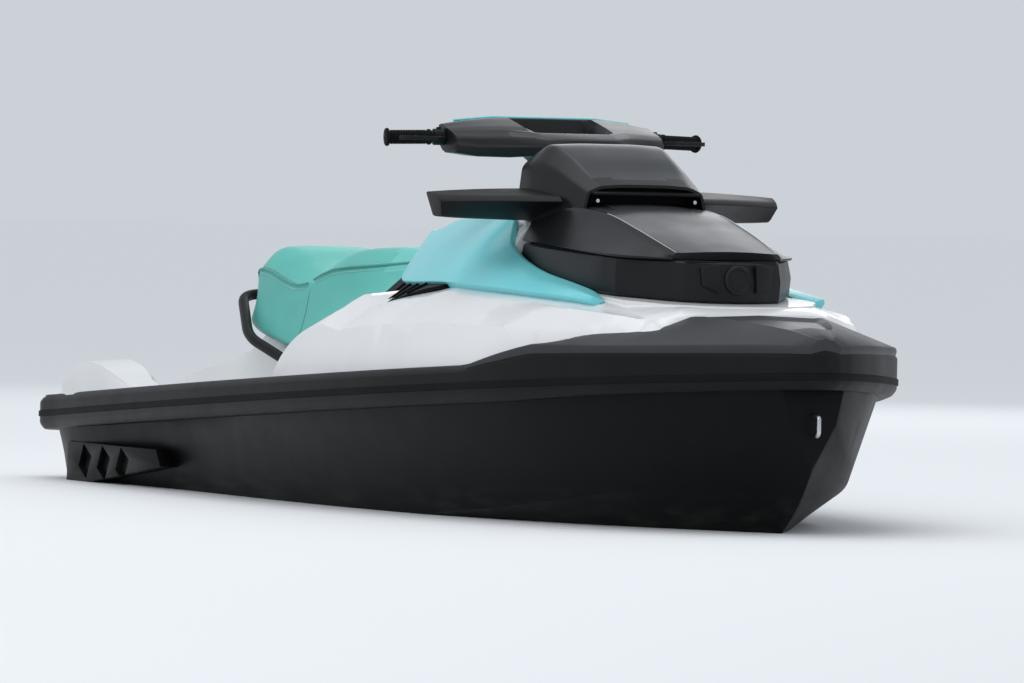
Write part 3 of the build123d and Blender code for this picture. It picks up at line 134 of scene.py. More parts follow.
class FinishMaker:
    """Builds the node tree of one finish from object coordinates."""

    def __init__(self, finish: Finish) -> None:
        """Start a material for the finish.

        Args:
            finish: The finish to build.
        """
        self.finish = finish
        self.material = bpy.data.materials.new(finish.slot)
        self.material.use_nodes = True
        self.nodes = self.material.node_tree.nodes
        self.links = self.material.node_tree.links
        self.shader = self.nodes["Principled BSDF"]
        self.place = self.nodes.new("ShaderNodeTexCoord").outputs["Object"]

    def build(self) -> bpy.types.Material:
        """Wire colour, roughness and relief.

        Returns:
            The finished material.
        """
        finish = self.finish
        self.shader.inputs["Metallic"].default_value = finish.metallic
        self.shader.inputs["Coat Weight"].default_value = finish.coat
        self.shader.inputs["Coat Roughness"].default_value = 0.06
        self.shader.inputs["Specular IOR Level"].default_value = finish.specular
        self._colour()
        self._roughness()
        self._relief()
        return self.material

    def _noise(self, size: float, detail: float = 4.0, stretch: Point = (1.0, 1.0, 1.0)) -> bpy.types.Node:
        """A noise texture.

        Args:
            size: The size of its features in metres.
            detail: How many finer layers it has.
            stretch: How much denser it is along each axis.

        Returns:
            The texture node.
        """
        mapping = self.nodes.new("ShaderNodeMapping")
        mapping.inputs["Scale"].default_value = stretch
        self.links.new(self.place, mapping.inputs["Vector"])
        noise = self.nodes.new("ShaderNodeTexNoise")
        noise.inputs["Scale"].default_value = 1.0 / size
        noise.inputs["Detail"].default_value = detail
        self.links.new(mapping.outputs["Vector"], noise.inputs["Vector"])
        return noise

    def _ramp(self, source: bpy.types.NodeSocket, low: float, high: float) -> bpy.types.NodeSocket:
        """A value stretched so that a span becomes 0 to 1, and clipped there.

        Args:
            source: The value.
            low: What becomes 0.
            high: What becomes 1.

        Returns:
            The new value.
        """
        span = self.nodes.new("ShaderNodeMapRange")
        span.inputs["From Min"].default_value = low
        span.inputs["From Max"].default_value = high
        self.links.new(source, span.inputs["Value"])
        return span.outputs["Result"]

    def _mix(self, share: bpy.types.NodeSocket, first: bpy.types.NodeSocket | Colour,
             second: bpy.types.NodeSocket | Colour) -> bpy.types.NodeSocket:
        """A blend of two colours.

        Args:
            share: How much of the second colour shows.
            first: The first colour.
            second: The second colour.

        Returns:
            The blend.
        """
        mix = self.nodes.new("ShaderNodeMix")
        mix.data_type = "RGBA"
        self.links.new(share, mix.inputs["Factor"])
        for name, value in (("A", first), ("B", second)):
            socket = [s for s in mix.inputs if s.name == name and s.type == "RGBA"][0]
            if isinstance(value, tuple):
                socket.default_value = (*value, 1.0)
            else:
                self.links.new(value, socket)
        return [s for s in mix.outputs if s.type == "RGBA"][0]

    def _colour(self) -> None:
        """Base colour with a slow tone drift, edge wear and a film by the waterline."""
        finish = self.finish
        dark = tuple(c * (1.0 - finish.tone) for c in finish.colour)
        light = tuple(min(1.0, c * (1.0 + finish.tone)) for c in finish.colour)
        drift = self._ramp(self._noise(0.22).outputs["Fac"], 0.35, 0.65)
        colour = self._mix(drift, dark, light)
        if finish.wear:
            edges = self.nodes.new("ShaderNodeNewGeometry").outputs["Pointiness"]
            worn = self._ramp(edges, 0.52, 0.60)
            patches = self._ramp(self._noise(0.03, 6.0).outputs["Fac"], 0.50, 0.72)
            both = self.nodes.new("ShaderNodeMath")
            both.operation = "MULTIPLY"
            self.links.new(worn, both.inputs[0])
            self.links.new(patches, both.inputs[1])
            scaled = self.nodes.new("ShaderNodeMath")
            scaled.operation = "MULTIPLY"
            scaled.inputs[1].default_value = finish.wear
            self.links.new(both.outputs[0], scaled.inputs[0])
            colour = self._mix(scaled.outputs[0], colour, finish.wear_colour)
        if finish.water_film:
            height = self.nodes.new("ShaderNodeSeparateXYZ")
            self.links.new(self.place, height.inputs[0])
            low = self._ramp(height.outputs["Z"], 0.10, -0.02)
            streaks = self._ramp(self._noise(0.05, 6.0, (0.35, 1.0, 2.2)).outputs["Fac"], 0.46, 0.70)
            film = self.nodes.new("ShaderNodeMath")
            film.operation = "MULTIPLY"
            self.links.new(low, film.inputs[0])
            self.links.new(streaks, film.inputs[1])
            film_share = self.nodes.new("ShaderNodeMath")
            film_share.operation = "MULTIPLY"
            film_share.inputs[1].default_value = finish.water_film
            self.links.new(film.outputs[0], film_share.inputs[0])
            colour = self._mix(film_share.outputs[0], colour, (0.12, 0.12, 0.10))
        self.links.new(colour, self.shader.inputs["Base Color"])

    def _roughness(self) -> None:
        """Roughness that varies a little over the surface."""
        span = self.nodes.new("ShaderNodeMapRange")
        span.inputs["To Min"].default_value = max(0.03, self.finish.roughness - 0.06)
        span.inputs["To Max"].default_value = min(1.0, self.finish.roughness + 0.08)
        self.links.new(self._noise(0.07, 5.0).outputs["Fac"], span.inputs["Value"])
        self.links.new(span.outputs["Result"], self.shader.inputs["Roughness"])

    def _relief(self) -> None:
        """Bump for the grain."""
        finish = self.finish
        if finish.grain is Grain.SMOOTH:
            height = self._noise(0.16, 2.0).outputs["Fac"]
        elif finish.grain is Grain.VINYL:
            cells = self.nodes.new("ShaderNodeTexVoronoi")
            cells.feature = "DISTANCE_TO_EDGE"
            cells.inputs["Scale"].default_value = 1.0 / finish.scale
            self.links.new(self.place, cells.inputs["Vector"])
            height = self._ramp(cells.outputs["Distance"], 0.0, 0.25)
        elif finish.grain is Grain.BRUSHED:
            height = self._noise(finish.scale, 3.0, (0.06, 1.0, 1.0)).outputs["Fac"]
        elif finish.grain is Grain.RIBBED:
            bands = self.nodes.new("ShaderNodeTexWave")
            bands.wave_type = "BANDS"
            bands.bands_direction = "DIAGONAL"
            bands.inputs["Scale"].default_value = 0.31 / finish.scale
            self.links.new(self.place, bands.inputs["Vector"])
            height = bands.outputs["Fac"]
        else:
            height = self._noise(finish.scale, 6.0).outputs["Fac"]
        bump = self.nodes.new("ShaderNodeBump")
        bump.inputs["Strength"].default_value = finish.relief
        bump.inputs["Distance"].default_value = finish.scale
        self.links.new(height, bump.inputs["Height"])
        self.links.new(bump.outputs["Normal"], self.shader.inputs["Normal"])


@dataclass(frozen=True)
class Palette:
    """Every finish on the craft."""

    hull: Finish = Finish(
        "hull_black", (0.0035, 0.0037, 0.0042), 0.40, water_film=0.16, relief=0.05, specular=0.10
    )
    bumper: Finish = Finish(
        "bumper_black", (0.0050, 0.0053, 0.0060), 0.44, wear=0.06, relief=0.10, specular=0.16
    )
    cap: Finish = Finish("bumper_grey", (0.038, 0.040, 0.045), 0.44, wear=0.08, relief=0.14, specular=0.20)
    white: Finish = Finish(
        "deck_white", (0.78, 0.79, 0.80), 0.22, Grain.SMOOTH, relief=0.0, coat=0.40, tone=0.02
    )
    cyan: Finish = Finish("panel_cyan", (0.18, 0.64, 0.69), 0.30, Grain.SMOOTH, relief=0.0, tone=0.03)
    teal: Finish = Finish(
        "seat_teal", (0.095, 0.50, 0.44), 0.44, Grain.VINYL, scale=0.0022, relief=0.16, tone=0.06
    )
    hood: Finish = Finish(
        "hood_charcoal", (0.0110, 0.0115, 0.0130), 0.30, relief=0.02, tone=0.06, specular=0.22
    )
    skirt: Finish = Finish("skirt_graphite", (0.0085, 0.0090, 0.0105), 0.36, relief=0.08, specular=0.22)
    trim: Finish = Finish("trim_black", (0.0055, 0.0058, 0.0066), 0.42, relief=0.12, specular=0.16)
    rubber: Finish = Finish("grip_rubber", (0.006, 0.006, 0.0065), 0.62, relief=0.25, specular=0.10)
    mat: Finish = Finish("mat_grey", (0.060, 0.062, 0.066), 0.84, Grain.RIBBED, scale=0.014, relief=0.9)
    mirror: Finish = Finish(
        "mirror_glass", (0.80, 0.82, 0.84), 0.04, Grain.SMOOTH, metallic=1.0, relief=0.0, tone=0.0
    )
    display: Finish = Finish(
        "display_glass", (0.010, 0.012, 0.015), 0.08, Grain.SMOOTH, coat=0.6, relief=0.0
    )
    steel: Finish = Finish("stainless", (0.56, 0.57, 0.58), 0.24, Grain.BRUSHED, metallic=1.0, relief=0.08)
    cast: Finish = Finish(
        "jet_aluminium", (0.36, 0.37, 0.38), 0.44, Grain.CAST, metallic=0.9, relief=0.22, wear=0.3
    )
    block: Finish = Finish("engine_metal", (0.24, 0.25, 0.26), 0.50, Grain.CAST, metallic=0.8, relief=0.25)
    bar: Finish = Finish("bar_black", (0.006, 0.006, 0.007), 0.36, relief=0.08, wear=0.06, specular=0.25)
    cap_pale: Finish = Finish(
        "bumper_grey_pale", (0.070, 0.074, 0.080), 0.42, relief=0.12, family="bumper_grey"
    )
    # Paler shade of the hood charcoal, painted on upward faces of the hood, cowl and pad as sky sheen; it
    # also has a slight metallic setting
    hood_sheen: Finish = Finish(
        "hood_painted_sheen", (0.034, 0.036, 0.040), 0.32, metallic=0.15, specular=0.35, relief=0.03,
        family="hood_charcoal",
    )
    # Light grey painted highlight, drawn as thin lines along the hood's creases
    crease_highlight: Finish = Finish(
        "crease_painted_highlight", (0.50, 0.52, 0.54), 0.25, Grain.SMOOTH, relief=0.0, family="hood_charcoal"
    )
    slot: Finish = Finish(
        "opening_black", (0.006, 0.006, 0.007), 0.60, relief=0.08, family="trim_black", specular=0.1
    )
    teal_pale: Finish = Finish(
        "seat_teal_pale", (0.14, 0.58, 0.52), 0.42, Grain.VINYL, scale=0.0022, relief=0.16,
        family="seat_teal",
    )
    teal_seam: Finish = Finish("seat_piping", (0.060, 0.36, 0.32), 0.48, relief=0.10, family="seat_teal")
    thread: Finish = Finish("seat_thread", (0.60, 0.74, 0.72), 0.60, relief=0.0, family="seat_teal")


PALETTE = Palette()
NODE_FINISH: dict[str, Finish] = {
    "hull": PALETTE.hull, "engine": PALETTE.block, "deck": PALETTE.white, "rub_rail": PALETTE.bumper,
    "bow_bumper": PALETTE.bumper, "bow_bumper_cap": PALETTE.cap, "side_panel_port": PALETTE.cyan,
    "side_panel_starboard": PALETTE.cyan, "storage_bin": PALETTE.trim, "hood": PALETTE.hood,
    "hood_skirt": PALETTE.skirt, "nose_disc": PALETTE.skirt, "gauge_cowl": PALETTE.hood,
    "gauge_display": PALETTE.display, "mirror_port": PALETTE.trim, "mirror_starboard": PALETTE.trim,
    "mirror_glass_port": PALETTE.mirror, "mirror_glass_starboard": PALETTE.mirror,
    "glove_box_lid": PALETTE.white, "steering_cover": PALETTE.hood, "handlebar": PALETTE.bar,
    "handlebar_pad": PALETTE.hood, "grip_port": PALETTE.rubber, "grip_starboard": PALETTE.rubber,
    "brake_lever": PALETTE.trim, "throttle_lever": PALETTE.trim, "seat_rear": PALETTE.teal,
    "seat_front": PALETTE.teal, "grab_handle": PALETTE.trim, "footwell_mat_port": PALETTE.mat,
    "footwell_mat_starboard": PALETTE.mat, "platform_mats": PALETTE.mat, "sponson_port": PALETTE.hull,
    "sponson_starboard": PALETTE.hull, "ride_plate": PALETTE.cast, "intake_grate": PALETTE.cast,
    "pump_housing": PALETTE.cast, "impeller": PALETTE.steel, "steering_nozzle": PALETTE.cast,
    "reverse_bucket": PALETTE.cast, "boarding_step": PALETTE.bar, "step_brackets": PALETTE.steel,
    "tow_eye": PALETTE.steel, "stern_eyes": PALETTE.steel, "bow_eye": PALETTE.steel,
}


def refine(stations: Sequence[Row], steps: int) -> list[Row]:
    """Rows between the given stations, on smooth curves through them.

    Args:
        stations: Rows of numbers, the first of each rising from row to row.
        steps: How many rows replace each step between two stations.

    Returns:
        The rows, with every given station among them.
    """
    slopes = []
    for index in range(len(stations)):
        before = stations[max(index - 1, 0)]
        after = stations[min(index + 1, len(stations) - 1)]
        slopes.append([(b - a) / (after[0] - before[0]) for a, b in zip(before, after)])
    rows = [tuple(stations[0])]
    for low, high, leave, reach in zip(stations, stations[1:], slopes, slopes[1:]):
        run = high[0] - low[0]
        for step in range(1, steps + 1):
            t = step / steps
            blend_out, blend_in = (1 + 2 * t) * (1 - t) ** 2, t * t * (3 - 2 * t)
            turn_out, turn_in = t * (1 - t) ** 2 * run, t * t * (t - 1) * run
            rows.append(tuple(
                a * blend_out + b * blend_in + m * turn_out + n * turn_in
                for a, b, m, n in zip(low, high, leave, reach)
            ))
    return rows


def at(stations: Sequence[Row], place: float) -> Row:
    """The row at a place between stations, in straight steps.

    Args:
        stations: Rows of numbers, the first of each rising from row to row.
        place: The place, as the first number of a row gives it.

    Returns:
        The row there, or the nearest end's.
    """
    if place <= stations[0][0]:
        return tuple(stations[0])
    for low, high in zip(stations, stations[1:]):
        if place <= high[0]:
            share = (place - low[0]) / (high[0] - low[0])
            return tuple(a + (b - a) * share for a, b in zip(low, high))
    return tuple(stations[-1])


def rounded(outline: Sequence[Flat], reach: Sequence[float], steps: int = 4) -> list[Flat]:
    """A closed outline with its corners drawn into short curves.

    Args:
        outline: The corners in order.
        reach: How far each corner's curve runs along its two sides, 0 for a sharp one.
        steps: Segments in each curve.

    Returns:
        The points of the outline.
    """
    points = []
    for index, (corner, length) in enumerate(zip(outline, reach)):
        if not length:
            points.append(tuple(corner))
            continue
        here = Vector(corner)
        back = Vector(outline[index - 1]) - here
        ahead = Vector(outline[(index + 1) % len(outline)]) - here
        near = min(length, 0.45 * back.length, 0.45 * ahead.length)
        start, end = here + back.normalized() * near, here + ahead.normalized() * near
        for step in range(steps + 1):
            t = step / steps
            points.append(tuple((1 - t) ** 2 * start + 2 * t * (1 - t) * here + t * t * end))
    return points


def mirrored(half: Sequence[Flat]) -> list[Flat]:
    """A port half outline closed with its mirror image."""
    return list(half) + [(-y, z) for y, z in reversed(half) if y > 0]


def both(half: Sequence[float], outline: Sequence[Flat]) -> list[float]:
    """The corner values of a half outline and of its mirror image."""
    return list(half) + [value for (y, _), value in zip(reversed(outline), reversed(half)) if y > 0]


class Piece:
    """A mesh under way, from its first faces to a finished piece of the scene."""

    def __init__(self, name: str, finish: Finish, body: str) -> None:
        """Start an empty piece.

        Args:
            name: The piece's name.
            finish: Its first finish.
            body: The CAD body that carries it.
        """
        self.name = name
        self.finishes = [finish]
        self.body = body
        self.bm = bmesh.new()

    def skin(self, rings: Sequence[Sequence[Point]], looped: bool = False, end_round: float = 0.0,
             material: int = 0) -> "Piece":
        """Skin a body over closed rings of points.

        Args:
            rings: The rings, each with the same count of points.
            looped: Whether the last ring joins the first.
            end_round: The rounding of the two flat ends.
            material: The finish of the faces.

        Returns:
            The piece.
        """
        bm = self.bm
        loops = [[bm.verts.new(point) for point in ring] for ring in rings]
        pairs = list(zip(loops, loops[1:])) + ([(loops[-1], loops[0])] if looped else [])
        count = len(loops[0])
        for low, high in pairs:
            for index in range(count):
                after = (index + 1) % count
                face = bm.faces.new((low[index], low[after], high[after], high[index]))
                face.material_index = material
        if not looped:
            ends = [bm.faces.new(loops[0]), bm.faces.new(loops[-1])]
            for face in ends:
                face.material_index = material
            if end_round:
                edges = list({edge for face in ends for edge in face.edges})
                bmesh.ops.bevel(bm, geom=edges, offset=end_round, offset_type="OFFSET", segments=4,
                                profile=0.5, affect="EDGES", clamp_overlap=True, material=-1)
        return self

    def plate(self, outline: Sequence[Point], move: Point, edge: float = 0.0, material: int = 0) -> "Piece":
        """Extrude an outline by a vector and round its edges.

        Args:
            outline: The corners of the first face.
            move: Where the second face lies from the first.
            edge: The rounding of its edges.
            material: The finish of the faces.

        Returns:
            The piece.
        """
        bm = self.bm
        face = bm.faces.new([bm.verts.new(point) for point in outline])
        face.material_index = material
        grown = bmesh.ops.extrude_face_region(bm, geom=[face])["geom"]
        verts = [item for item in grown if isinstance(item, bmesh.types.BMVert)]
        bmesh.ops.translate(bm, verts=verts, vec=Vector(move))
        if edge:
            edges = list({e for v in verts for e in v.link_edges} | set(face.edges))
            bmesh.ops.bevel(bm, geom=edges, offset=edge, offset_type="OFFSET", segments=2,
                            profile=0.5, affect="EDGES", clamp_overlap=True, material=-1)
        return self

    def tube(self, path: Sequence[Point], radius: float | Sequence[float], sides: int = 16,
             closed: bool = False, material: int = 0) -> "Piece":
        """Sweep a round section along a path.

        Args:
            path: The points of its middle line.
            radius: One radius, or one for each point.
            sides: Points round the section.
            closed: Whether the path returns to its start.
            material: The finish of the faces.

        Returns:
            The piece.
        """
        points = [Vector(point) for point in path]
        radii = [radius] * len(points) if isinstance(radius, float) else radius
        rings = []
        across = None
        for index, (point, size) in enumerate(zip(points, radii)):
            before = points[index - 1] if index or closed else point
            after = points[(index + 1) % len(points)] if index + 1 < len(points) or closed else point
            along = (after - before).normalized()
            if across is None:
                across = along.orthogonal().normalized()
            across = (across - along * across.dot(along)).normalized()
            other = along.cross(across)
            ring = [
                tuple(point + (across * math.cos(turn) + other * math.sin(turn)) * size)
                for turn in (2 * math.pi * side / sides for side in range(sides))
            ]
            rings.append(ring)
        return self.skin(rings, looped=closed, material=material)

    def bevel(self, width: float, above: float = 30.0, segments: int = 3, clamp: bool = True,
              chosen: Callable[[bmesh.types.BMEdge], bool] | None = None) -> "Piece":
        """Round the edges that turn by more than an angle, in degrees.

        Args:
            width: The rounding.
            above: The least angle between two faces.
            segments: Segments across the rounding.
            clamp: Whether the rounding stays inside short faces.
            chosen: A further test for an edge.

        Returns:
            The piece.
        """
        edges = [
            edge for edge in self.bm.edges
            if len(edge.link_faces) == 2 and edge.calc_face_angle(0.0) > math.radians(above)
            and (chosen is None or chosen(edge))
        ]
        bmesh.ops.bevel(self.bm, geom=edges, offset=width, offset_type="OFFSET", segments=segments,
                        profile=0.5, affect="EDGES", clamp_overlap=clamp, material=-1)
        return self

    def also(self, finish: Finish) -> int:
        """Add a finish and give its number."""
        self.finishes.append(finish)
        return len(self.finishes) - 1

    def done(self, *replaced: str, sharp: float = 40.0) -> bpy.types.Object:
        """Turn the mesh into an object that rides its body.

        Args:
            replaced: The CAD nodes that the piece stands for.
            sharp: Edges that turn further than this, in degrees, stay sharp.

        Returns:
            The object.
        """
        bmesh.ops.recalc_face_normals(self.bm, faces=self.bm.faces[:])
        for face in self.bm.faces:
            face.smooth = True
        for edge in self.bm.edges:
            edge.smooth = len(edge.link_faces) != 2 or edge.calc_face_angle(0.0) < math.radians(sharp)
        mesh = bpy.data.meshes.new(self.name)
        self.bm.to_mesh(mesh)
        self.bm.free()
        for finish in self.finishes:
            mesh.materials.append(finish.material())
        obj = bpy.data.objects.new(self.name, mesh)
        bpy.context.scene.collection.objects.link(obj)
        if replaced:
            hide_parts(*replaced)
        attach(obj, self.body)
        LOG.info("piece %s on %s", obj.name, self.body)
        return obj


def bent(corners: Sequence[Point], reach: float, steps: int = 8) -> list[Point]:
    """A path through corners, each drawn into a bend.

    Args:
        corners: The path's corners.
        reach: How far a bend runs along its two sides.
        steps: Segments in each bend.

    Returns:
        The path's points.
    """
    path = [tuple(corners[0])]
    for before, corner, after in zip(corners, corners[1:], corners[2:]):
        here = Vector(corner)
        back, ahead = Vector(before) - here, Vector(after) - here
        near = min(reach, 0.45 * back.length, 0.45 * ahead.length)
        start, end = here + back.normalized() * near, here + ahead.normalized() * near
        for step in range(steps + 1):
            t = step / steps
            path.append(tuple((1 - t) ** 2 * start + 2 * t * (1 - t) * here + t * t * end))
    path.append(tuple(corners[-1]))
    return path


def join_z(x: float) -> float:
    """Height of the joint between hull and deck."""
    return 0.168 + 0.060 * x


PLAN: list[Row] = [
    (0.0, 0.565), (0.5, 0.601), (1.0, 0.620), (1.25, 0.622), (1.7, 0.615), (2.1, 0.585), (2.48, 0.522),
    (2.64, 0.483), (2.805, 0.427), (2.95, 0.362), (3.12, 0.230), (3.20, 0.150), (3.255, 0.082),
    (3.280, 0.034),
]
# Deck surface as x, knee y, z, crest y, z, crown y, z: as the CAD deck has it, then as the
# photograph shows it
DECK_BEFORE: list[Row] = [
    (1.50, 0.570, 0.303, 0.545, 0.305, 0.260, 0.306), (1.80, 0.520, 0.470, 0.410, 0.535, 0.250, 0.565),
    (2.10, 0.492, 0.492, 0.400, 0.542, 0.250, 0.590), (2.55, 0.455, 0.490, 0.378, 0.538, 0.250, 0.570),
    (2.90, 0.338, 0.478, 0.312, 0.520, 0.200, 0.538), (3.12, 0.170, 0.468, 0.145, 0.492, 0.090, 0.500),
    (3.22, 0.070, 0.445, 0.050, 0.462, 0.025, 0.470),
]
DECK_AFTER: list[Row] = [
    (1.50, 0.570, 0.303, 0.545, 0.305, 0.260, 0.306), (1.60, 0.553, 0.352, 0.505, 0.378, 0.255, 0.388),
    (1.70, 0.537, 0.402, 0.462, 0.452, 0.252, 0.474), (1.80, 0.527, 0.424, 0.448, 0.482, 0.250, 0.522),
    (2.10, 0.500, 0.450, 0.420, 0.518, 0.250, 0.566), (2.55, 0.430, 0.452, 0.360, 0.508, 0.230, 0.532),
    (2.90, 0.300, 0.440, 0.262, 0.478, 0.180, 0.507), (2.935, 0.283, 0.432, 0.245, 0.470, 0.168, 0.500),
    (2.97, 0.262, 0.412, 0.225, 0.428, 0.150, 0.440), (3.12, 0.170, 0.400, 0.145, 0.415, 0.090, 0.425),
    (3.22, 0.070, 0.390, 0.050, 0.400, 0.025, 0.405),
]


class Recut:
    """A CAD node's mesh, merged, cleared of flat facets and ready for rounding."""

    def __init__(self, node: bpy.types.Object, finish: Finish, body: str) -> None:
        """Read the node's mesh.

        Args:
            node: The CAD node.
            finish: Its finish.
            body: The body that carries it.
        """
        self.node = node
        self.finish = finish
        self.body = body

    def piece(self, name: str) -> Piece:
        """The node's mesh as a new piece.

        Args:
            name: The piece's name.

        Returns:
            The piece.
        """
        piece = Piece(name, self.finish, self.body)
        bm = piece.bm
        bm.from_mesh(self.node.data)
        bmesh.ops.remove_doubles(bm, verts=bm.verts[:], dist=2e-5)
        bmesh.ops.dissolve_limit(bm, angle_limit=math.radians(0.8), verts=bm.verts[:], edges=bm.edges[:])
        for face in bm.faces:
            face.material_index = 0
        return piece

    def rounded(self, width: float, above: float = 28.0, clamp: bool = True,
                segments: int = 2) -> bpy.types.Object:
        """The node with its sharp edges rounded, in place of the node."""
        piece = self.piece(self.node.name + "_finished")
        piece.bevel(width, above=above, segments=segments, clamp=clamp)
        return piece.done(self.node.name)


@dataclass
class DeckWorks:
    """Deck, locker frame, rail and bow cap."""

    nodes: dict[str, bpy.types.Object]
    crest_round: float = 0.034
    hump_length: float = 0.84
    hump_height: float = 0.80

    def build(self) -> None:
        """Make every piece of the shell."""
        self._deck()
        self._coaming()
        self._rail()
        self._cap()

    def _shift(self, point: Vector) -> Vector:
        """Where a point of the CAD deck's upper surface goes.

        Args:
            point: A point on or near that surface.

        Returns:
            The point on the photograph's bulwark, with points far below or above left where they are.
        """
        before, after = at(DECK_BEFORE, point.x), at(DECK_AFTER, point.x)
        across = abs(point.y)
        if across >= before[1]:
            low = join_z(point.x)
            share = min(1.0, max(0.0, (point.z - low) / (before[2] - low)))
            side = across + (after[1] - before[1]) * share
            return Vector((point.x, math.copysign(side, point.y), point.z + (after[2] - before[2]) * share))
        old = [(before[1], before[2]), (before[3], before[4]), (before[5], before[6]), (0.0, before[6])]
        new = [(after[1], after[2]), (after[3], after[4]), (after[5], after[6]), (0.0, after[6])]
        number = next(index for index in range(3) if across >= old[index + 1][0])
        (y0, z0), (y1, z1) = old[number], old[number + 1]
        share = (y0 - across) / (y0 - y1)
        surface = z0 + (z1 - z0) * share
        y = new[number][0] + (new[number + 1][0] - new[number][0]) * share
        reach = [0.0, 0.0, self.crest_round, self.crest_round, 0.0]
        curve = rounded([(0.0, new[0][1] - 0.1)] + new, reach, 8)[1:]
        z = at([(-v, w) for v, w in curve], -y)[1]
        gap = point.z - surface
        weight = max(0.0, 1.0 + gap / 0.15) if gap < 0 else max(0.0, 1.0 - max(0.0, gap - 0.02) / 0.06)
        return Vector((point.x, math.copysign(across + (y - across) * weight, point.y),
                       point.z + (z - surface) * weight))

    def _deck(self) -> None:
        """The CAD deck with its bulwark lowered to the photograph's line and its crests rounded."""
        piece = Recut(self.nodes["deck"], PALETTE.white, "hull_body").piece("deck_shell")
        bm = piece.bm
        for step in range(58):
            bmesh.ops.bisect_plane(bm, geom=bm.verts[:] + bm.edges[:] + bm.faces[:], dist=1e-5,
                                   plane_co=(1.50 + 0.03 * step, 0, 0), plane_no=(1, 0, 0))
        for step in range(26):
            for side in Side:
                ahead = [face for face in bm.faces if face.calc_center_median().x > 1.5
                         and face.calc_center_median().z > 0.30]
                near = {vert for face in ahead for vert in face.verts}
                edges = {edge for face in ahead for edge in face.edges}
                bmesh.ops.bisect_plane(bm, geom=list(near) + list(edges) + ahead, dist=1e-5,
                                       plane_co=(0, side.value * (0.06 + 0.02 * step), 0), plane_no=(0, 1, 0))
        for vert in bm.verts:
            if vert.co.x > 1.499 and vert.co.z > join_z(vert.co.x) + 0.02:
                vert.co = self._shift(vert.co)
            floor = join_z(vert.co.x) + 0.046
            if vert.co.x < 0.47 and abs(vert.co.y) > 0.37 and vert.co.z > floor + 0.002:
                vert.co = Vector((vert.co.x * self.hump_length, vert.co.y,
                                  floor + (vert.co.z - floor) * self.hump_height))
        piece.done("deck", sharp=34.0)

    def _coaming(self) -> None:
        """The raised frame round the locker's mouth, under the hood's skirt."""
        piece = Piece("locker_coaming", PALETTE.white, "hull_body")
        inner = [(2.180, 0.206), (2.480, 0.212), (2.600, 0.212), (2.665, 0.206), (2.740, 0.160),
                 (2.795, 0.112), (2.812, 0.0)]
        outer = [(2.170, 0.246), (2.480, 0.256), (2.600, 0.256), (2.760, 0.248), (2.850, 0.190),
                 (2.892, 0.100), (2.900, 0.0)]
        port = list(zip(inner, outer))
        whole = port + [((a[0], -a[1]), (b[0], -b[1])) for a, b in reversed(port) if a[1] > 0]
        rings = []
        for near, far in whole:
            low, high = (at(DECK_AFTER, far[0])[6], at(DECK_AFTER, near[0])[6])
            rings.append([(near[0], near[1], high - 0.030), (near[0], near[1], high + 0.004),
                          (far[0], far[1], low + 0.003), (far[0] + 0.002, far[1] * 1.01, low - 0.030)])
        piece.skin(rings, looped=True)
        piece.bevel(0.002, above=40.0, segments=2)
        piece.done()

    def _path(self) -> list[tuple[float, float, float, float]]:
        """The rail's outline on port, from the middle of the stern to the bow.

        Returns:
            Rows of x, y and the outward normal's x and y.
        """
        rows = refine(PLAN, 10)
        side = [(x, y) for x, y in rows if x > 0.09]
        corner = rounded([(-0.030, 0.0), (-0.030, 0.570), (0.16, 0.577)], [0.0, 0.11, 0.0], 8)[1:-1]
        nose = [(3.286, 0.0)]
        stern = [(-0.030, 0.08 * step) for step in range(6)]
        points = [Vector(point) for point in stern + corner + side + nose]
        path = []
        for index, point in enumerate(points):
            before, after = points[max(index - 1, 0)], points[min(index + 1, len(points) - 1)]
            along = (after - before).normalized()
            normal = Vector((along.y, -along.x))
            if normal.dot(Vector((point.x - 1.6, point.y))) < 0:
                normal = -normal
            path.append((point.x, point.y, normal.x, normal.y))
        return path

    def _loop(self, section: Callable[[float], list[Flat]], low: float = -1.0, high: float = 9.0,
              ) -> list[list[Point]]:
        """Rings of a section of (outward, up) points swept round the plan, port then starboard.

        Args:
            section: Gives the section at an x.
            low: The least x that the sweep covers.
            high: The greatest x.

        Returns:
            The rings in order round the craft.
        """
        port = [row for row in self._path() if low <= row[0] <= high]
        whole = port + [(x, -y, nx, -ny) for x, y, nx, ny in reversed(port) if y > 1e-6]
        return [
            [(x + nx * out, y + ny * out, join_z(x) + up) for out, up in section(x)]
            for x, y, nx, ny in whole
        ]

    @staticmethod
    def _rail_top(x: float) -> float:
        """Height of the black band's top over the joint."""
        return at([(0.0, 0.040), (2.46, 0.040), (2.70, 0.070), (3.29, 0.056)], x)[1]

    @staticmethod
    def _rail_foot(x: float) -> float:
        """Depth of the black band's foot below the joint."""
        return at([(0.0, -0.044), (2.60, -0.044), (2.90, -0.036), (3.29, -0.034)], x)[1]

    def _rail(self) -> None:
        """The rub rail and bow bumper, one band round the craft with a paler bevel on top."""
        def section(x: float) -> list[Flat]:
            """The band's section.

            Args:
                x: Where along the craft.

            Returns:
                Its points as outward, up from the joint.
            """
            top, foot = self._rail_top(x), self._rail_foot(x)
            corners = [(-0.050, foot), (-0.012, foot), (0.0, foot + 0.016), (0.0, top - 0.012),
                       (-0.010, top), (-0.050, top)]
            return rounded(corners, [0.0, 0.006, 0.006, 0.004, 0.004, 0.0], 3)

        band = Piece("rail_band", PALETTE.bumper, "hull_body")
        band.skin(self._loop(section), looped=True)
        band.done("rub_rail", "bow_bumper")

        def strip(x: float) -> list[Flat]:
            """The strip's section.

            Args:
                x: Where along the craft.

            Returns:
                Its points as outward, up from the joint.
            """
            top = self._rail_top(x)
            corners = [(-0.046, top - 0.004), (-0.012, top - 0.004), (-0.014, top + 0.005),
                       (-0.044, top + 0.007)]
            return rounded(corners, [0.002] * 4, 2)

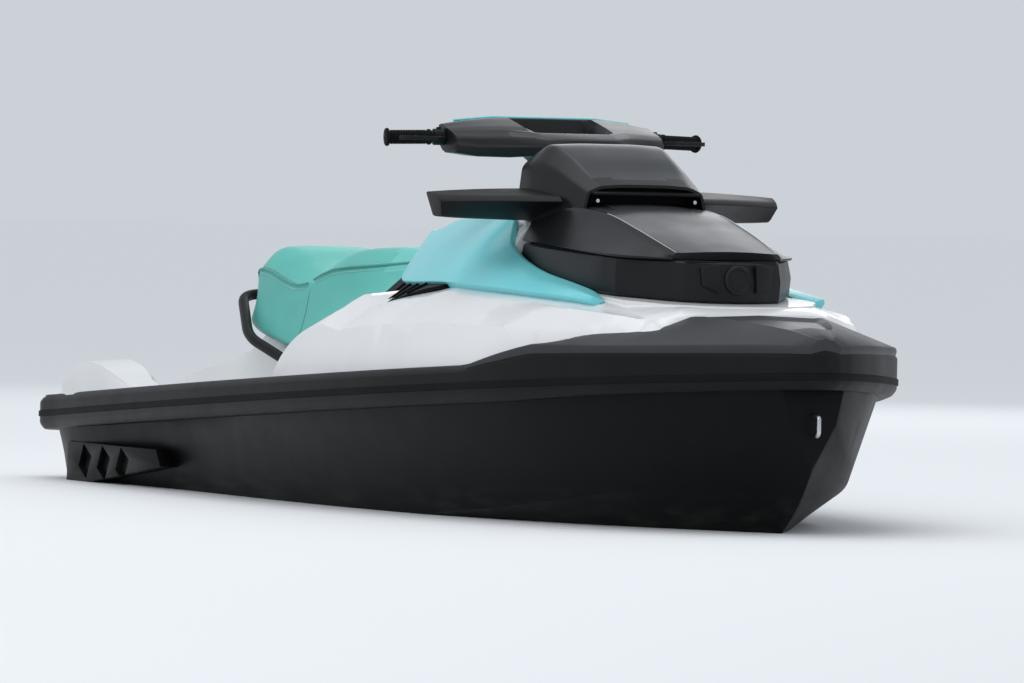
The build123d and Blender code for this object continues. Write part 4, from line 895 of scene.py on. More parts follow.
        lay = Piece("rail_top_strip", PALETTE.cap, "hull_body")
        for half in (1, -1):
            rows = [row for row in self._path() if -0.05 <= row[0] <= 2.50]
            rings = [
                [(x + nx * out, half * (y + ny * out), join_z(x) + up) for out, up in strip(x)]
                for x, y, nx, ny in rows
            ]
            lay.skin(rings, end_round=0.002)
        lay.done()

        corners = [(-0.002, -0.012), (0.0035, -0.010), (0.0035, 0.004), (-0.002, 0.006)]
        outline = rounded(corners, [0.001] * 4, 2)
        bead = Piece("rail_bead", PALETTE.rubber, "hull_body")
        bead.skin(self._loop(lambda _: outline), looped=True)
        bead.done()

    def _cap(self) -> None:
        """The grey bow cap with peaked wings and a recessed paler panel."""
        stations = [
            (2.48, 0.001, 0.470, 0.372), (2.60, 0.012, 0.428, 0.402), (2.70, 0.016, 0.392, 0.424),
            (2.805, 0.014, 0.322, 0.452), (2.90, 0.012, 0.215, 0.476), (2.95, 0.012, 0.165, 0.488),
            (3.03, 0.012, 0.130, 0.486), (3.12, 0.012, 0.096, 0.478), (3.20, 0.012, 0.060, 0.466),
            (3.255, 0.010, 0.034, 0.452), (3.276, 0.008, 0.018, 0.444),
        ]
        cap = Piece("bow_cap", PALETTE.cap, "hull_body")
        pale = cap.also(PALETTE.cap_pale)
        rings = []
        for x, face, crown_y, crown_z in refine(stations, 5):
            outer = at(refine(PLAN, 8), x)[1]
            low = join_z(x) + self._rail_top(x)
            crown_y = min(crown_y, outer * 0.8)
            half = [(outer - 0.012, low - 0.02), (outer - 0.002, low + 0.002), (outer - 0.004, low + face),
                    (crown_y, crown_z)]
            dip = 0.010 * min(1.0, max(0.0, (x - 2.965) / 0.015)) * min(1.0, max(0.0, (3.20 - x) / 0.015))
            middle = [(crown_y * 0.84, crown_z - 0.001 - dip), (0.0, crown_z + 0.004 - dip)]
            reach = both([0.0, 0.003, 0.006, 0.004, 0.003, 0.0], half + middle)
            outline = rounded(mirrored(half + middle), reach, 3)
            rings.append([(x, y, z) for y, z in outline])
        cap.skin(rings, end_round=0.003)
        for face in cap.bm.faces:
            centre = face.calc_center_median()
            inside = abs(centre.y) < 0.84 * at(stations, centre.x)[2]
            if 2.98 < centre.x < 3.185 and inside and centre.z > 0.445:
                face.material_index = pale
        cap.done("bow_bumper_cap", sharp=32.0)


@dataclass
class HoodWorks:
    """Front hood with its skirt, cowl, mirrors, side panels and vents."""

    stations: tuple[Row, ...] = (
        (2.172, 0.226, 0.655, 0.176, 0.728, 0.742), (2.300, 0.238, 0.648, 0.168, 0.732, 0.744),
        (2.467, 0.240, 0.636, 0.148, 0.716, 0.724), (2.600, 0.236, 0.626, 0.142, 0.684, 0.691),
        (2.700, 0.216, 0.620, 0.137, 0.656, 0.662), (2.785, 0.140, 0.618, 0.129, 0.630, 0.635),
    )
    skirt_plan: tuple[Flat, ...] = (
        (2.172, 0.226), (2.300, 0.236), (2.480, 0.240), (2.600, 0.238), (2.668, 0.226), (2.740, 0.176),
        (2.812, 0.124), (2.834, 0.060), (2.842, 0.0),
    )
    cowl: tuple[Row, ...] = (
        (2.090, 0.206, 0.190, 0.826, 0.148, 0.862), (2.150, 0.206, 0.187, 0.834, 0.146, 0.878),
        (2.230, 0.196, 0.174, 0.816, 0.134, 0.850), (2.300, 0.184, 0.163, 0.792, 0.126, 0.812),
        (2.363, 0.168, 0.152, 0.768, 0.118, 0.782),
    )

    def build(self) -> None:
        """Make the pieces that tilt with the hood, and the panels beside them."""
        self._top()
        self._skirt()
        self._cowl()
        for side in Side:
            self._mirror(side)
            self._panel(side)
            self._vent(side)

    @staticmethod
    def _belt(x: float) -> float:
        """Height of the line between hood and skirt."""
        return 0.629 - 0.050 * (x - 2.48)

    def _top(self) -> None:
        """The upper hood with its raised middle panel between two creases, painted paler as sky sheen, and
        light lines painted along the creases as highlights.
        """
        rows = refine(self.stations, 6)
        piece = Piece("hood_top", PALETTE.hood, "hood_lid")
        pale = piece.also(PALETTE.hood_sheen)
        rings = []
        for x, belt_y, belt_z, crease_y, crease_z, crown_z in rows:
            share = max(0.0, (x - 2.60) / 0.185)
            low = self._belt(x) + 0.002
            half = [
                (belt_y - 0.014, low), (belt_y, low + 0.004), (belt_y - 0.001, belt_z - 0.004),
                (crease_y + 0.012, crease_z - 0.007), (crease_y + 0.003, crease_z + 0.001),
                (crease_y - 0.010, crease_z + 0.001), (crease_y * 0.45, crown_z - 0.001), (0.0, crown_z),
            ]
            reach = both([0.003, 0.003, 0.012, 0.008, 0.0015, 0.004, 0.02, 0.0], half)
            outline = rounded(mirrored(half), reach, 3)
            rings.append([
                (x + share * 0.022 * max(0.0, 1.0 - (y / 0.138) ** 2), y, z) for y, z in outline
            ])
        piece.skin(rings, end_round=0.006)
        # Faces of the raised middle panel, which face upward, get the paler painted sheen
        for face in piece.bm.faces:
            centre = face.calc_center_median()
            row = at(self.stations, centre.x)
            if abs(centre.y) < row[3] - 0.008 and centre.z > row[4] - 0.006:
                face.material_index = pale
        piece.done("hood", sharp=26.0)
        # Thin light lines along both creases are a painted highlight, not a part of the hood
        line = Piece("hood_crease_painted_highlights", PALETTE.crease_highlight, "hood_lid")
        for side in Side:
            path = [(x, side.value * (row_y + 0.001), row_z + 0.0012)
                    for x, _, _, row_y, row_z, _ in rows if 2.44 < x < 2.786]
            line.tube(path, 0.0011, sides=6)
        line.done()

    def _skirt(self) -> None:
        """The ring below the hood's lip, faceted at the nose, with a disc and a slim fin."""
        port = [Vector(point) for point in self.skirt_plan]
        whole = [(x, y) for x, y in port] + [(x, -y) for x, y in reversed(port) if y > 0]
        dense = []
        for index, start in enumerate(whole):
            end = whole[(index + 1) % len(whole)]
            for step in range(3):
                t = step / 3
                dense.append((start[0] + (end[0] - start[0]) * t, start[1] + (end[1] - start[1]) * t))
        middle = Vector((2.45, 0.0))
        rings = []
        for x, y in dense:
            inward = (middle - Vector((x, y))).normalized()
            foot = at(DECK_AFTER, x)[6] + 0.006
            high = self._belt(x) - 0.001
            mid = foot + (high - foot) * 0.52
            corners = [(0.012, foot), (0.004, foot), (0.0, foot + 0.005), (-0.004, mid),
                       (0.004, high - 0.004), (0.008, high), (0.016, high)]
            rings.append([(x + inward.x * off, y + inward.y * off, z) for off, z in corners])
        piece = Piece("hood_skirt_ring", PALETTE.skirt, "hood_lid")
        piece.skin(rings, looped=True)
        piece.done("hood_skirt", sharp=24.0)
        disc = Piece("nose_disc_boss", PALETTE.skirt, "hood_lid")
        rings = []
        for out, radius in ((-0.012, 0.034), (0.004, 0.034), (0.007, 0.031), (0.007, 0.025), (0.0045, 0.023)):
            rings.append([
                (2.842 + out - 0.05 * (radius * math.sin(turn)), radius * math.cos(turn),
                 0.570 + radius * math.sin(turn))
                for turn in (2 * math.pi * step / 40 for step in range(40))
            ])
        disc.skin(rings)
        disc.done("nose_disc")
        fin = Piece("nose_fin", PALETTE.skirt, "hood_lid")
        for side in Side:
            outline = [(2.838, side.value * 0.046, 0.606), (2.829, side.value * 0.092, 0.600),
                       (2.832, side.value * 0.088, 0.556), (2.839, side.value * 0.048, 0.540)]
            fin.plate(outline, (0.007, 0.0, 0.0), 0.0015)
        fin.done()
        liner = Piece("hood_liner", PALETTE.trim, "hood_lid")
        inner = [(x, y * 0.93, self._belt(x) + 0.001) for x, y in whole]
        inner = [(min(max(x, 2.185), 2.828), y, z) for x, y, z in inner]
        liner.plate(inner, (0.0, 0.0, -0.006), 0.0015)
        liner.done()

    def _cowl(self) -> None:
        """The gauge cowl, with its top painted paler as sky sheen, and the black slot under its front lip."""
        rows = refine(self.cowl, 5)
        piece = Piece("cowl_shell", PALETTE.hood, "hood_lid")
        dark = piece.also(PALETTE.slot)
        pale = piece.also(PALETTE.hood_sheen)
        rings = []
        for x, foot_y, shoulder_y, shoulder_z, crown_y, crown_z in rows:
            half = [(foot_y, 0.700), (shoulder_y, shoulder_z), (crown_y, crown_z),
                    (crown_y * 0.5, crown_z + 0.004)]
            reach = both([0.0, 0.012, 0.012, 0.02], half)
            rings.append([(x, y, z) for y, z in rounded(mirrored(half), reach, 4)])
        piece.skin(rings)
        bm = piece.bm
        bm.normal_update()
        mouth = max(bm.faces, key=lambda face: face.calc_center_median().x)
        bmesh.ops.inset_region(bm, faces=[mouth], thickness=0.007, use_even_offset=True)
        deep = bmesh.ops.inset_region(bm, faces=[mouth], thickness=0.001, depth=-0.052)
        for face in deep["faces"] + [mouth]:
            face.material_index = dark
        # Top faces of the cowl get the paler painted sheen
        for face in bm.faces:
            if face.material_index == 0 and face.calc_center_median().z > 0.80 and abs(
                    face.calc_center_median().y) < at(self.cowl, face.calc_center_median().x)[4]:
                face.material_index = pale
        piece.done("gauge_cowl", sharp=28.0)
        lip = Piece("slot_lip", PALETTE.trim, "hood_lid")
        lip.plate([(2.352, 0.146, 0.7665), (2.352, -0.146, 0.7665), (2.376, -0.136, 0.760),
                   (2.376, 0.136, 0.760)],
                  (0.0, 0.0, 0.006), 0.0015)
        lip.plate([(2.300, 0.140, 0.738), (2.300, -0.140, 0.738), (2.424, -0.122, 0.7225),
                   (2.424, 0.122, 0.7225)],
                  (0.0, 0.0, 0.0045), 0.001)
        lip.done()
        studs = Piece("slot_fasteners", PALETTE.steel, "hood_lid")
        for side in Side:
            y = side.value * 0.128
            studs.tube([(2.366, y, 0.747), (2.372, y, 0.747)], 0.0045, sides=20)
        studs.done()

    def _mirror(self, side: Side) -> None:
        """One wedge mirror with its glass facing aft.

        Args:
            side: The side of the craft.
        """
        s = side.value
        # y, aft x, front x, low z, high z
        sections = [(0.188, 2.115, 2.310, 0.697, 0.774), (0.300, 2.115, 2.264, 0.699, 0.771),
                    (0.400, 2.116, 2.214, 0.701, 0.766), (0.456, 2.119, 2.186, 0.703, 0.762)]
        rings = []
        for y, aft, front, low, high in refine(sections, 3):
            edge = low + (high - low) * 0.62
            slant = 0.35 * max(0.0, (y - 0.38) / 0.076)
            corners = [(aft, low + 0.002), (aft, high - 0.002), (aft + 0.020, high),
                       (front - 0.02, edge + 0.012), (front, edge - 0.002), (aft + 0.046, low - 0.001),
                       (aft + 0.018, low)]
            outline = rounded(corners, [0.005, 0.005, 0.006, 0.010, 0.004, 0.008, 0.005], 3)
            rings.append([(x, s * (y - slant * (high - z)), z) for x, z in outline])
        piece = Piece("mirror_housing_" + side.word, PALETTE.trim, "hood_lid")
        piece.skin(rings, end_round=0.004)
        piece.done("mirror_" + side.word, sharp=34.0)
        glass = Piece("mirror_pane_" + side.word, PALETTE.mirror, "hood_lid")
        glass.plate([(2.1155, s * 0.262, 0.707), (2.1155, s * 0.438, 0.714), (2.1155, s * 0.438, 0.749),
                     (2.1155, s * 0.262, 0.762)], (-0.002, 0.0, 0.0), 0.0006)
        glass.done("mirror_glass_" + side.word)

    def _panel(self, side: Side) -> None:
        """One cyan side panel from the seat's front to the tail beside the hood.

        Args:
            side: The side of the craft.
        """
        s = side.value
        rows = [
            (1.432, 0.118, 0.650, 0.094, 0.668), (1.500, 0.200, 0.594, 0.104, 0.680),
            (1.590, 0.268, 0.552, 0.118, 0.694), (1.750, 0.322, 0.545, 0.144, 0.704),
            (1.950, 0.352, 0.548, 0.176, 0.708), (2.075, 0.366, 0.548, 0.204, 0.706),
            (2.150, 0.368, 0.546, 0.243, 0.640), (2.300, 0.356, 0.541, 0.252, 0.588),
            (2.500, 0.338, 0.532, 0.252, 0.556), (2.600, 0.326, 0.526, 0.258, 0.541),
            (2.700, 0.304, 0.516, 0.280, 0.521),
        ]
        rings = []
        for x, low_y, low_z, top_y, top_z in refine(rows, 5):
            bulge = 0.010
            mid = ((low_y + top_y) / 2 + bulge, (low_z + top_z) / 2 + bulge)
            corners = [(low_y, low_z), mid, (top_y, top_z), (top_y - 0.014, top_z - 0.004),
                       (mid[0] - 0.018, mid[1] - 0.018), (low_y - 0.014, low_z - 0.016)]
            outline = rounded(corners, [0.003, 0.05, 0.004, 0.003, 0.05, 0.003], 4)
            rings.append([(x, s * y, z) for y, z in outline])
        piece = Piece("side_panel_shell_" + side.word, PALETTE.cyan, "hull_body")
        piece.skin(rings, end_round=0.002)
        piece.done("side_panel_" + side.word)

    def _vent(self, side: Side) -> None:
        """One black intake between side panel and bulwark, with leaning fins.

        Args:
            side: The side of the craft.
        """
        s = side.value
        rows = [
            (1.560, 0.252, 0.552, 0.300, 0.512), (1.640, 0.276, 0.545, 0.360, 0.484),
            (1.740, 0.306, 0.540, 0.396, 0.484), (1.880, 0.332, 0.542, 0.408, 0.508),
            (1.990, 0.345, 0.545, 0.398, 0.529), (2.040, 0.350, 0.546, 0.380, 0.538),
        ]
        piece = Piece("side_vent_" + side.word, PALETTE.slot, "hull_body")
        rings = []
        for x, top_y, top_z, low_y, low_z in refine(rows, 4):
            corners = [(top_y, top_z), (low_y, low_z), (low_y - 0.012, low_z - 0.02),
                       (top_y - 0.05, top_z - 0.03)]
            rings.append([(x, s * y, z) for y, z in corners])
        piece.skin(rings)
        for step in range(4):
            x = 1.66 + 0.075 * step
            row = at(rows, x)
            piece.plate([(x, s * row[1], row[2] + 0.006), (x + 0.035, s * (row[3] + 0.002), row[4] + 0.012),
                         (x + 0.035, s * (row[3] - 0.006), row[4] - 0.012),
                         (x, s * (row[1] - 0.012), row[2] - 0.02)],
                        (0.005, 0.0, 0.0), 0.001)
        piece.done()


@dataclass
class HelmWorks:
    """Handlebar with its pad, column, grips and levers."""

    pad_rows: tuple[tuple[float, tuple[Flat, ...]], ...] = (
        (0.0, ((1.845, 0.856), (1.806, 0.902), (1.812, 0.940), (1.834, 0.944), (1.852, 0.893), (1.950, 0.886),
               (1.978, 0.908), (2.022, 0.892), (2.040, 0.868), (2.024, 0.846))),
        (0.092, ((1.845, 0.856), (1.806, 0.902), (1.812, 0.940), (1.834, 0.944), (1.852, 0.893),
                 (1.950, 0.886), (1.978, 0.908), (2.020, 0.892), (2.038, 0.868), (2.022, 0.846))),
        (0.112, ((1.845, 0.857), (1.806, 0.902), (1.812, 0.940), (1.838, 0.944), (1.880, 0.934),
                 (1.930, 0.921), (1.970, 0.909), (2.006, 0.894), (2.024, 0.872), (2.008, 0.850))),
        (0.160, ((1.846, 0.850), (1.803, 0.896), (1.808, 0.938), (1.832, 0.942), (1.866, 0.932),
                 (1.904, 0.922), (1.938, 0.911), (1.966, 0.896), (1.980, 0.870), (1.962, 0.846))),
        (0.230, ((1.840, 0.850), (1.798, 0.888), (1.801, 0.928), (1.822, 0.934), (1.850, 0.926),
                 (1.878, 0.918), (1.908, 0.908), (1.934, 0.894), (1.946, 0.868), (1.930, 0.847))),
        (0.278, ((1.838, 0.856), (1.800, 0.886), (1.802, 0.920), (1.818, 0.926), (1.838, 0.919),
                 (1.860, 0.913), (1.884, 0.905), (1.904, 0.894), (1.914, 0.872), (1.902, 0.855))),
    )
    shoulder: Point = (1.842, 0.250, 0.894)
    grip_end: Point = (1.808, 0.420, 0.890)

    def build(self) -> None:
        """Make everything that turns with the bar."""
        self._pad()
        self._bar()
        for side in Side:
            self._grip(side)
            self._lever(side)

    def _pad(self) -> None:
        """The wing-shaped pad with its recess, a paler painted sheen on its upward front faces, a near-black
        plate painted into the recess as shade, and the cyan strip along its rear edge.
        """
        half = [(y, rounded(list(outline), [0.007] * len(outline), 3)) for y, outline in self.pad_rows]
        rows = [(-y, outline) for y, outline in reversed(half[1:])] + half
        piece = Piece("bar_pad", PALETTE.hood, "steering")
        pale = piece.also(PALETTE.hood_sheen)
        piece.skin([[(x, y, z) for x, z in outline] for y, outline in rows], end_round=0.004)
        piece.bm.normal_update()
        # Upward faces at the pad's front get the paler painted sheen
        for face in piece.bm.faces:
            centre = face.calc_center_median()
            if abs(face.normal.z) > 0.75 and centre.z > 0.89 and centre.x > 1.96:
                face.material_index = pale
        piece.done("handlebar_pad", sharp=30.0)
        shroud = Piece("column_shroud", PALETTE.hood, "steering")
        corner = 0.016
        # z, aft x, front x, half width
        levels = [(0.804, 1.925, 2.020, 0.048), (0.832, 1.895, 2.032, 0.078),
                  (0.872, 1.862, 2.030, 0.112)]
        rings = []
        for z, aft, front, half in levels:
            corners = [(aft, -half), (aft, half), (front, half), (front, -half)]
            rings.append([(x, y, z) for x, y in rounded(corners, [corner] * 4, 4)])
        shroud.skin(rings, end_round=0.003)
        shroud.done()
        strip = Piece("pad_strip", PALETTE.cyan, "steering")
        path = [(1.8095 - 0.012 * max(0.0, abs(y) - 0.12) / 0.12, y, 0.9435 - 0.10 * max(0.0, abs(y) - 0.14))
                for y in (-0.235 + 0.47 * step / 24 for step in range(25))]
        strip.tube(path, 0.0035, sides=10)
        strip.done()
        # A near-black plate laid in the pad's recess is painted shade for the hollow
        recess_shade = Piece("pad_recess_painted_shade", PALETTE.slot, "steering")
        recess_shade.plate([(1.860, 0.080, 0.8935), (1.860, -0.080, 0.8935), (1.944, -0.074, 0.8880),
                      (1.944, 0.074, 0.8880)],
                     (0.0, 0.0, 0.0015), 0.0005)
        recess_shade.done()

    def _bar(self) -> None:
        """The bent bar and its column."""
        half = [(1.955, 0.090, 0.868), self.shoulder, self.grip_end]
        corners = [(x, -y, z) for x, y, z in reversed(half)] + half
        piece = Piece("bar_tube", PALETTE.bar, "steering")
        piece.tube(bent(corners, 0.04), 0.011, sides=20)
        low = Vector((2.010, 0.0, 0.800)) - Vector((-0.601815, 0.0, 0.798636)) * 0.09
        high = Vector((2.010, 0.0, 0.800)) + Vector((-0.601815, 0.0, 0.798636)) * 0.07
        piece.tube([tuple(low), tuple(high)], 0.0155, sides=24)
        piece.done("handlebar")

    def _grip(self, side: Side) -> None:
        """One ribbed grip with its end flange and clamp.

        Args:
            side: The side of the craft.
        """
        s = side.value
        start = Vector((self.shoulder[0], s * self.shoulder[1], self.shoulder[2]))
        end = Vector((self.grip_end[0], s * self.grip_end[1], self.grip_end[2]))
        along = (end - start).normalized()
        length = 0.112
        rings = [(0.0, 0.0165), (0.003, 0.019), (0.008, 0.019), (0.010, 0.0165)]
        for rib in range(14):
            x = 0.014 + rib * 0.0062
            rings += [(x, 0.0158), (x + 0.001, 0.0172), (x + 0.004, 0.0172), (x + 0.005, 0.0158)]
        rings += [(0.104, 0.0165), (0.105, 0.021), (0.109, 0.022), (0.112, 0.0205), (0.113, 0.017)]
        first = end - along * (length + 0.001)
        piece = Piece("grip_sleeve_" + side.word, PALETTE.rubber, "steering")
        piece.tube([tuple(first + along * x) for x, _ in rings], [radius for _, radius in rings], sides=28)
        piece.done("grip_" + side.word, sharp=50.0)
        clamp = Piece("lever_clamp_" + side.word, PALETTE.trim, "steering")
        at_clamp = first - along * 0.034
        steps = [(0.0, 0.017), (0.003, 0.020), (0.027, 0.020), (0.030, 0.017)]
        clamp.tube([tuple(at_clamp + along * x) for x, _ in steps], [radius for _, radius in steps], sides=28)
        clamp.tube([tuple(at_clamp + along * 0.015 + Vector((0.0, 0.0, 0.014))),
                    tuple(at_clamp + along * 0.015 + Vector((0.0, 0.0, 0.0235)))], 0.006, sides=16)
        clamp.done()

    def _lever(self, side: Side) -> None:
        """One finger lever ahead of its grip.

        Args:
            side: The side of the craft.
        """
        s = side.value
        # Distance ahead of the root, distance out
        outline = [(0.012, 0.0), (0.046, 0.004), (0.054, 0.030), (0.042, 0.112), (0.036, 0.124),
                   (0.028, 0.116), (0.038, 0.034), (0.030, 0.018), (0.010, 0.016)]
        x, y, z = self.shoulder[0] - 0.008, 0.288, 0.884
        points = rounded([(x + ahead, y + out) for ahead, out in outline], [0.004] * len(outline), 3)
        name = "brake" if side is Side.PORT else "throttle"
        piece = Piece(name + "_blade", PALETTE.bar, "steering")
        piece.plate([(px, s * py, z) for px, py in points], (0.0, 0.0, 0.010), 0.0022)
        piece.done(name + "_lever")


@dataclass
class SeatWorks:
    """The two saddles and the grab handle behind them."""

    rear: tuple[Row, ...] = (
        (0.478, 0.100, 0.566, 0.146, 0.524, 0.170, 0.425), (0.510, 0.120, 0.602, 0.168, 0.545, 0.188, 0.412),
        (0.560, 0.128, 0.613, 0.182, 0.556, 0.202, 0.400), (0.640, 0.132, 0.603, 0.190, 0.550, 0.212, 0.386),
        (0.720, 0.131, 0.574, 0.192, 0.532, 0.218, 0.374), (0.800, 0.130, 0.556, 0.193, 0.520, 0.225, 0.364),
        (0.900, 0.134, 0.562, 0.198, 0.526, 0.240, 0.350),
    )
    front: tuple[Row, ...] = (
        (0.906, 0.134, 0.566, 0.198, 0.530, 0.241, 0.350), (0.970, 0.134, 0.594, 0.194, 0.550, 0.242, 0.362),
        (1.040, 0.132, 0.612, 0.188, 0.564, 0.242, 0.378), (1.200, 0.122, 0.619, 0.170, 0.574, 0.238, 0.434),
        (1.320, 0.108, 0.622, 0.150, 0.582, 0.230, 0.474), (1.434, 0.092, 0.626, 0.128, 0.590, 0.218, 0.506),
    )

    def build(self) -> None:
        """Make both seats, their seams and the handle."""
        self._seat("seat_rear", self.rear)
        self._seat("seat_front", self.front)
        self._handle()

    def _seat(self, name: str, stations: tuple[Row, ...]) -> None:
        """One padded saddle with its seams.

        Args:
            name: The seat's node.
            stations: Its sections.
        """
        rows = refine(stations, 5)
        piece = Piece(name + "_cover", PALETTE.teal, "hull_body")
        pale = piece.also(PALETTE.teal_pale)
        rings = []
        for x, crown_y, crown_z, side_y, side_z, flap_y, flap_z in rows:
            hollow = (side_y + flap_y) / 2 - 0.006
            half = [(flap_y - 0.012, flap_z), (flap_y, flap_z + 0.012), (hollow, (side_z + flap_z) / 2),
                    (side_y, side_z), (crown_y, crown_z), (crown_y * 0.5, crown_z + 0.005)]
            reach = both([0.004, 0.008, 0.05, 0.022, 0.030, 0.04], half)
            rings.append([(x, y, z) for y, z in rounded(mirrored(half), reach, 4)])
        piece.skin(rings, end_round=0.014)
        for face in piece.bm.faces:
            centre = face.calc_center_median()
            row = at(stations, centre.x)
            if name == "seat_front" and centre.x > 1.20 + 0.5 * abs(centre.y) and centre.z > row[4] - 0.02:
                face.material_index = pale
        cover = piece.done(name, sharp=60.0)
        Cushion(cover).settle()
        trim = Piece(name + "_piping", PALETTE.teal_seam, "hull_body")
        for side in Side:
            path = [(x, side.value * (side_y + 0.0005), side_z + 0.001)
                    for x, _, _, side_y, side_z, _, _ in rows[1:-1]]
            trim.tube(path, 0.0028, sides=8)
        trim.done()
        thread = Piece(name + "_stitching", PALETTE.thread, "hull_body")
        for side in Side:
            for offset in (-0.010, 0.010):
                self._stitches(thread, rows, side, offset)
        thread.done()

    @staticmethod
    def _stitches(thread: Piece, rows: Sequence[Row], side: Side, offset: float) -> None:
        """A row of short stitches beside the piping.

        Args:
            thread: The piece that takes them.
            rows: The seat's sections.
            side: The side of the craft.
            offset: How far above or below the piping they run.
        """
        start, end = rows[2][0], rows[-3][0]
        count = int((end - start) / 0.009)
        for step in range(count):
            x = start + step * 0.009
            ends = []
            for place in (x, x + 0.0055):
                _, crown_y, crown_z, side_y, side_z, flap_y, flap_z = at(rows, place)
                if offset > 0:
                    slope = (Vector((crown_y, crown_z)) - Vector((side_y, side_z))).normalized()
                else:
                    slope = (Vector((side_y, side_z)) - Vector((flap_y, flap_z))).normalized()
                point = Vector((side_y, side_z)) + slope * offset
                ends.append((place, side.value * (point.x + 0.0006), point.y - 0.001))
            thread.tube(ends, 0.0008, sides=4)

    def _handle(self) -> None:
        """The bent grab handle behind the rear seat."""
        half = [(0.838, 0.236, 0.330), (0.640, 0.252, 0.384), (0.424, 0.176, 0.490)]
        corners = half + [(x, -y, z) for x, y, z in reversed(half)]
        piece = Piece("grab_rail", PALETTE.trim, "hull_body")
        piece.tube(bent(corners, 0.055), 0.0135, sides=20)
        for side in Side:
            foot = (0.838, side.value * 0.236, 0.330)
            piece.tube([foot, (foot[0] + 0.012, foot[1], foot[2] - 0.004)], 0.021, sides=20)
        piece.done("grab_handle")


@dataclass
class Cushion:
    """Settles a sewn cover over its foam with a short cloth simulation."""

    cover: bpy.types.Object
    frames: int = 14
    pressure: float = 3.0
    most: float = 0.006

    def settle(self) -> None:
        """Inflate the cover a little between its pinned edges, by a few millimetres at most."""
        obj = self.cover
        rest = [vert.co.copy() for vert in obj.data.vertices]
        pins = obj.vertex_groups.new(name="pins")
        low = min(point.z for point in rest)
        first, last = min(point.x for point in rest), max(point.x for point in rest)
        for index, point in enumerate(rest):
            edge = min(point.x - first, last - point.x) < 0.012 or point.z < low + 0.05
            pins.add([index], 1.0 if edge else 0.12, "REPLACE")
        cloth = obj.modifiers.new("cloth", "CLOTH")
        cloth.settings.use_pressure = True
        cloth.settings.uniform_pressure_force = self.pressure
        cloth.settings.vertex_group_mass = pins.name
        cloth.settings.effector_weights.gravity = 0.0
        cloth.settings.tension_stiffness = 30.0
        cloth.settings.bending_stiffness = 2.0
        cloth.point_cache.frame_end = self.frames
        scene = bpy.context.scene
        for frame in range(1, self.frames + 1):
            scene.frame_set(frame)
        graph = bpy.context.evaluated_depsgraph_get()
        posed = obj.evaluated_get(graph)
        moved = [vert.co.copy() for vert in posed.data.vertices]
        obj.modifiers.remove(cloth)
        scene.frame_set(1)
        for vert, start, end in zip(obj.data.vertices, rest, moved):
            step = end - start
            if step.length > self.most:
                step = step.normalized() * self.most
            vert.co = start + step
        obj.data.update()


@dataclass
class Fittings:
    """Hard parts of the CAD with their edges rounded, and the storage bin."""

    nodes: dict[str, bpy.types.Object]
    # CAD node, its body, rounding
    rounding: tuple[tuple[str, str, float], ...] = (
        ("hull", "hull_body", 0.004), ("steering_cover", "hull_body", 0.010),
        ("glove_box_lid", "glove_lid", 0.002),
        ("sponson_port", "hull_body", 0.003), ("sponson_starboard", "hull_body", 0.003),
        ("platform_mats", "hull_body", 0.002), ("footwell_mat_port", "hull_body", 0.002),
        ("footwell_mat_starboard", "hull_body", 0.002), ("boarding_step", "step", 0.001),
        ("step_brackets", "hull_body", 0.001), ("ride_plate", "hull_body", 0.002),
        ("intake_grate", "hull_body", 0.001), ("pump_housing", "hull_body", 0.0015),
        ("steering_nozzle", "jet_nozzle", 0.0015), ("reverse_bucket", "bucket", 0.0015),
        ("impeller", "jet_rotor", 0.0008), ("stern_eyes", "hull_body", 0.0008),
        ("tow_eye", "hull_body", 0.0008),
        ("bow_eye", "hull_body", 0.0008), ("gauge_display", "hood_lid", 0.0015),
        ("engine", "hull_body", 0.003),
    )

    def build(self) -> None:
        """Make them all."""
        for name, body, width in self.rounding:
            Recut(self.nodes[name], NODE_FINISH[name], body).rounded(width)
        self._bin()

    def _bin(self) -> None:
        """The storage bin with its rim just under the coaming."""
        piece = Recut(self.nodes["storage_bin"], PALETTE.trim, "hull_body").piece("bin_tray")
        for vert in piece.bm.verts:
            if vert.co.z > 0.45:
                vert.co.z = at(DECK_AFTER, vert.co.x)[6] - 0.034
        piece.done("storage_bin")


def finish_cad_nodes(nodes: dict[str, bpy.types.Object]) -> None:
    """Give every carried-over node its material.

    Args:
        nodes: The CAD nodes by name.
    """
    for name, node in nodes.items():
        finish = NODE_FINISH[name]
        node.data.materials.clear()
        node.data.materials.append(finish.material())
        LOG.info("node %s in %s", name, finish.slot)


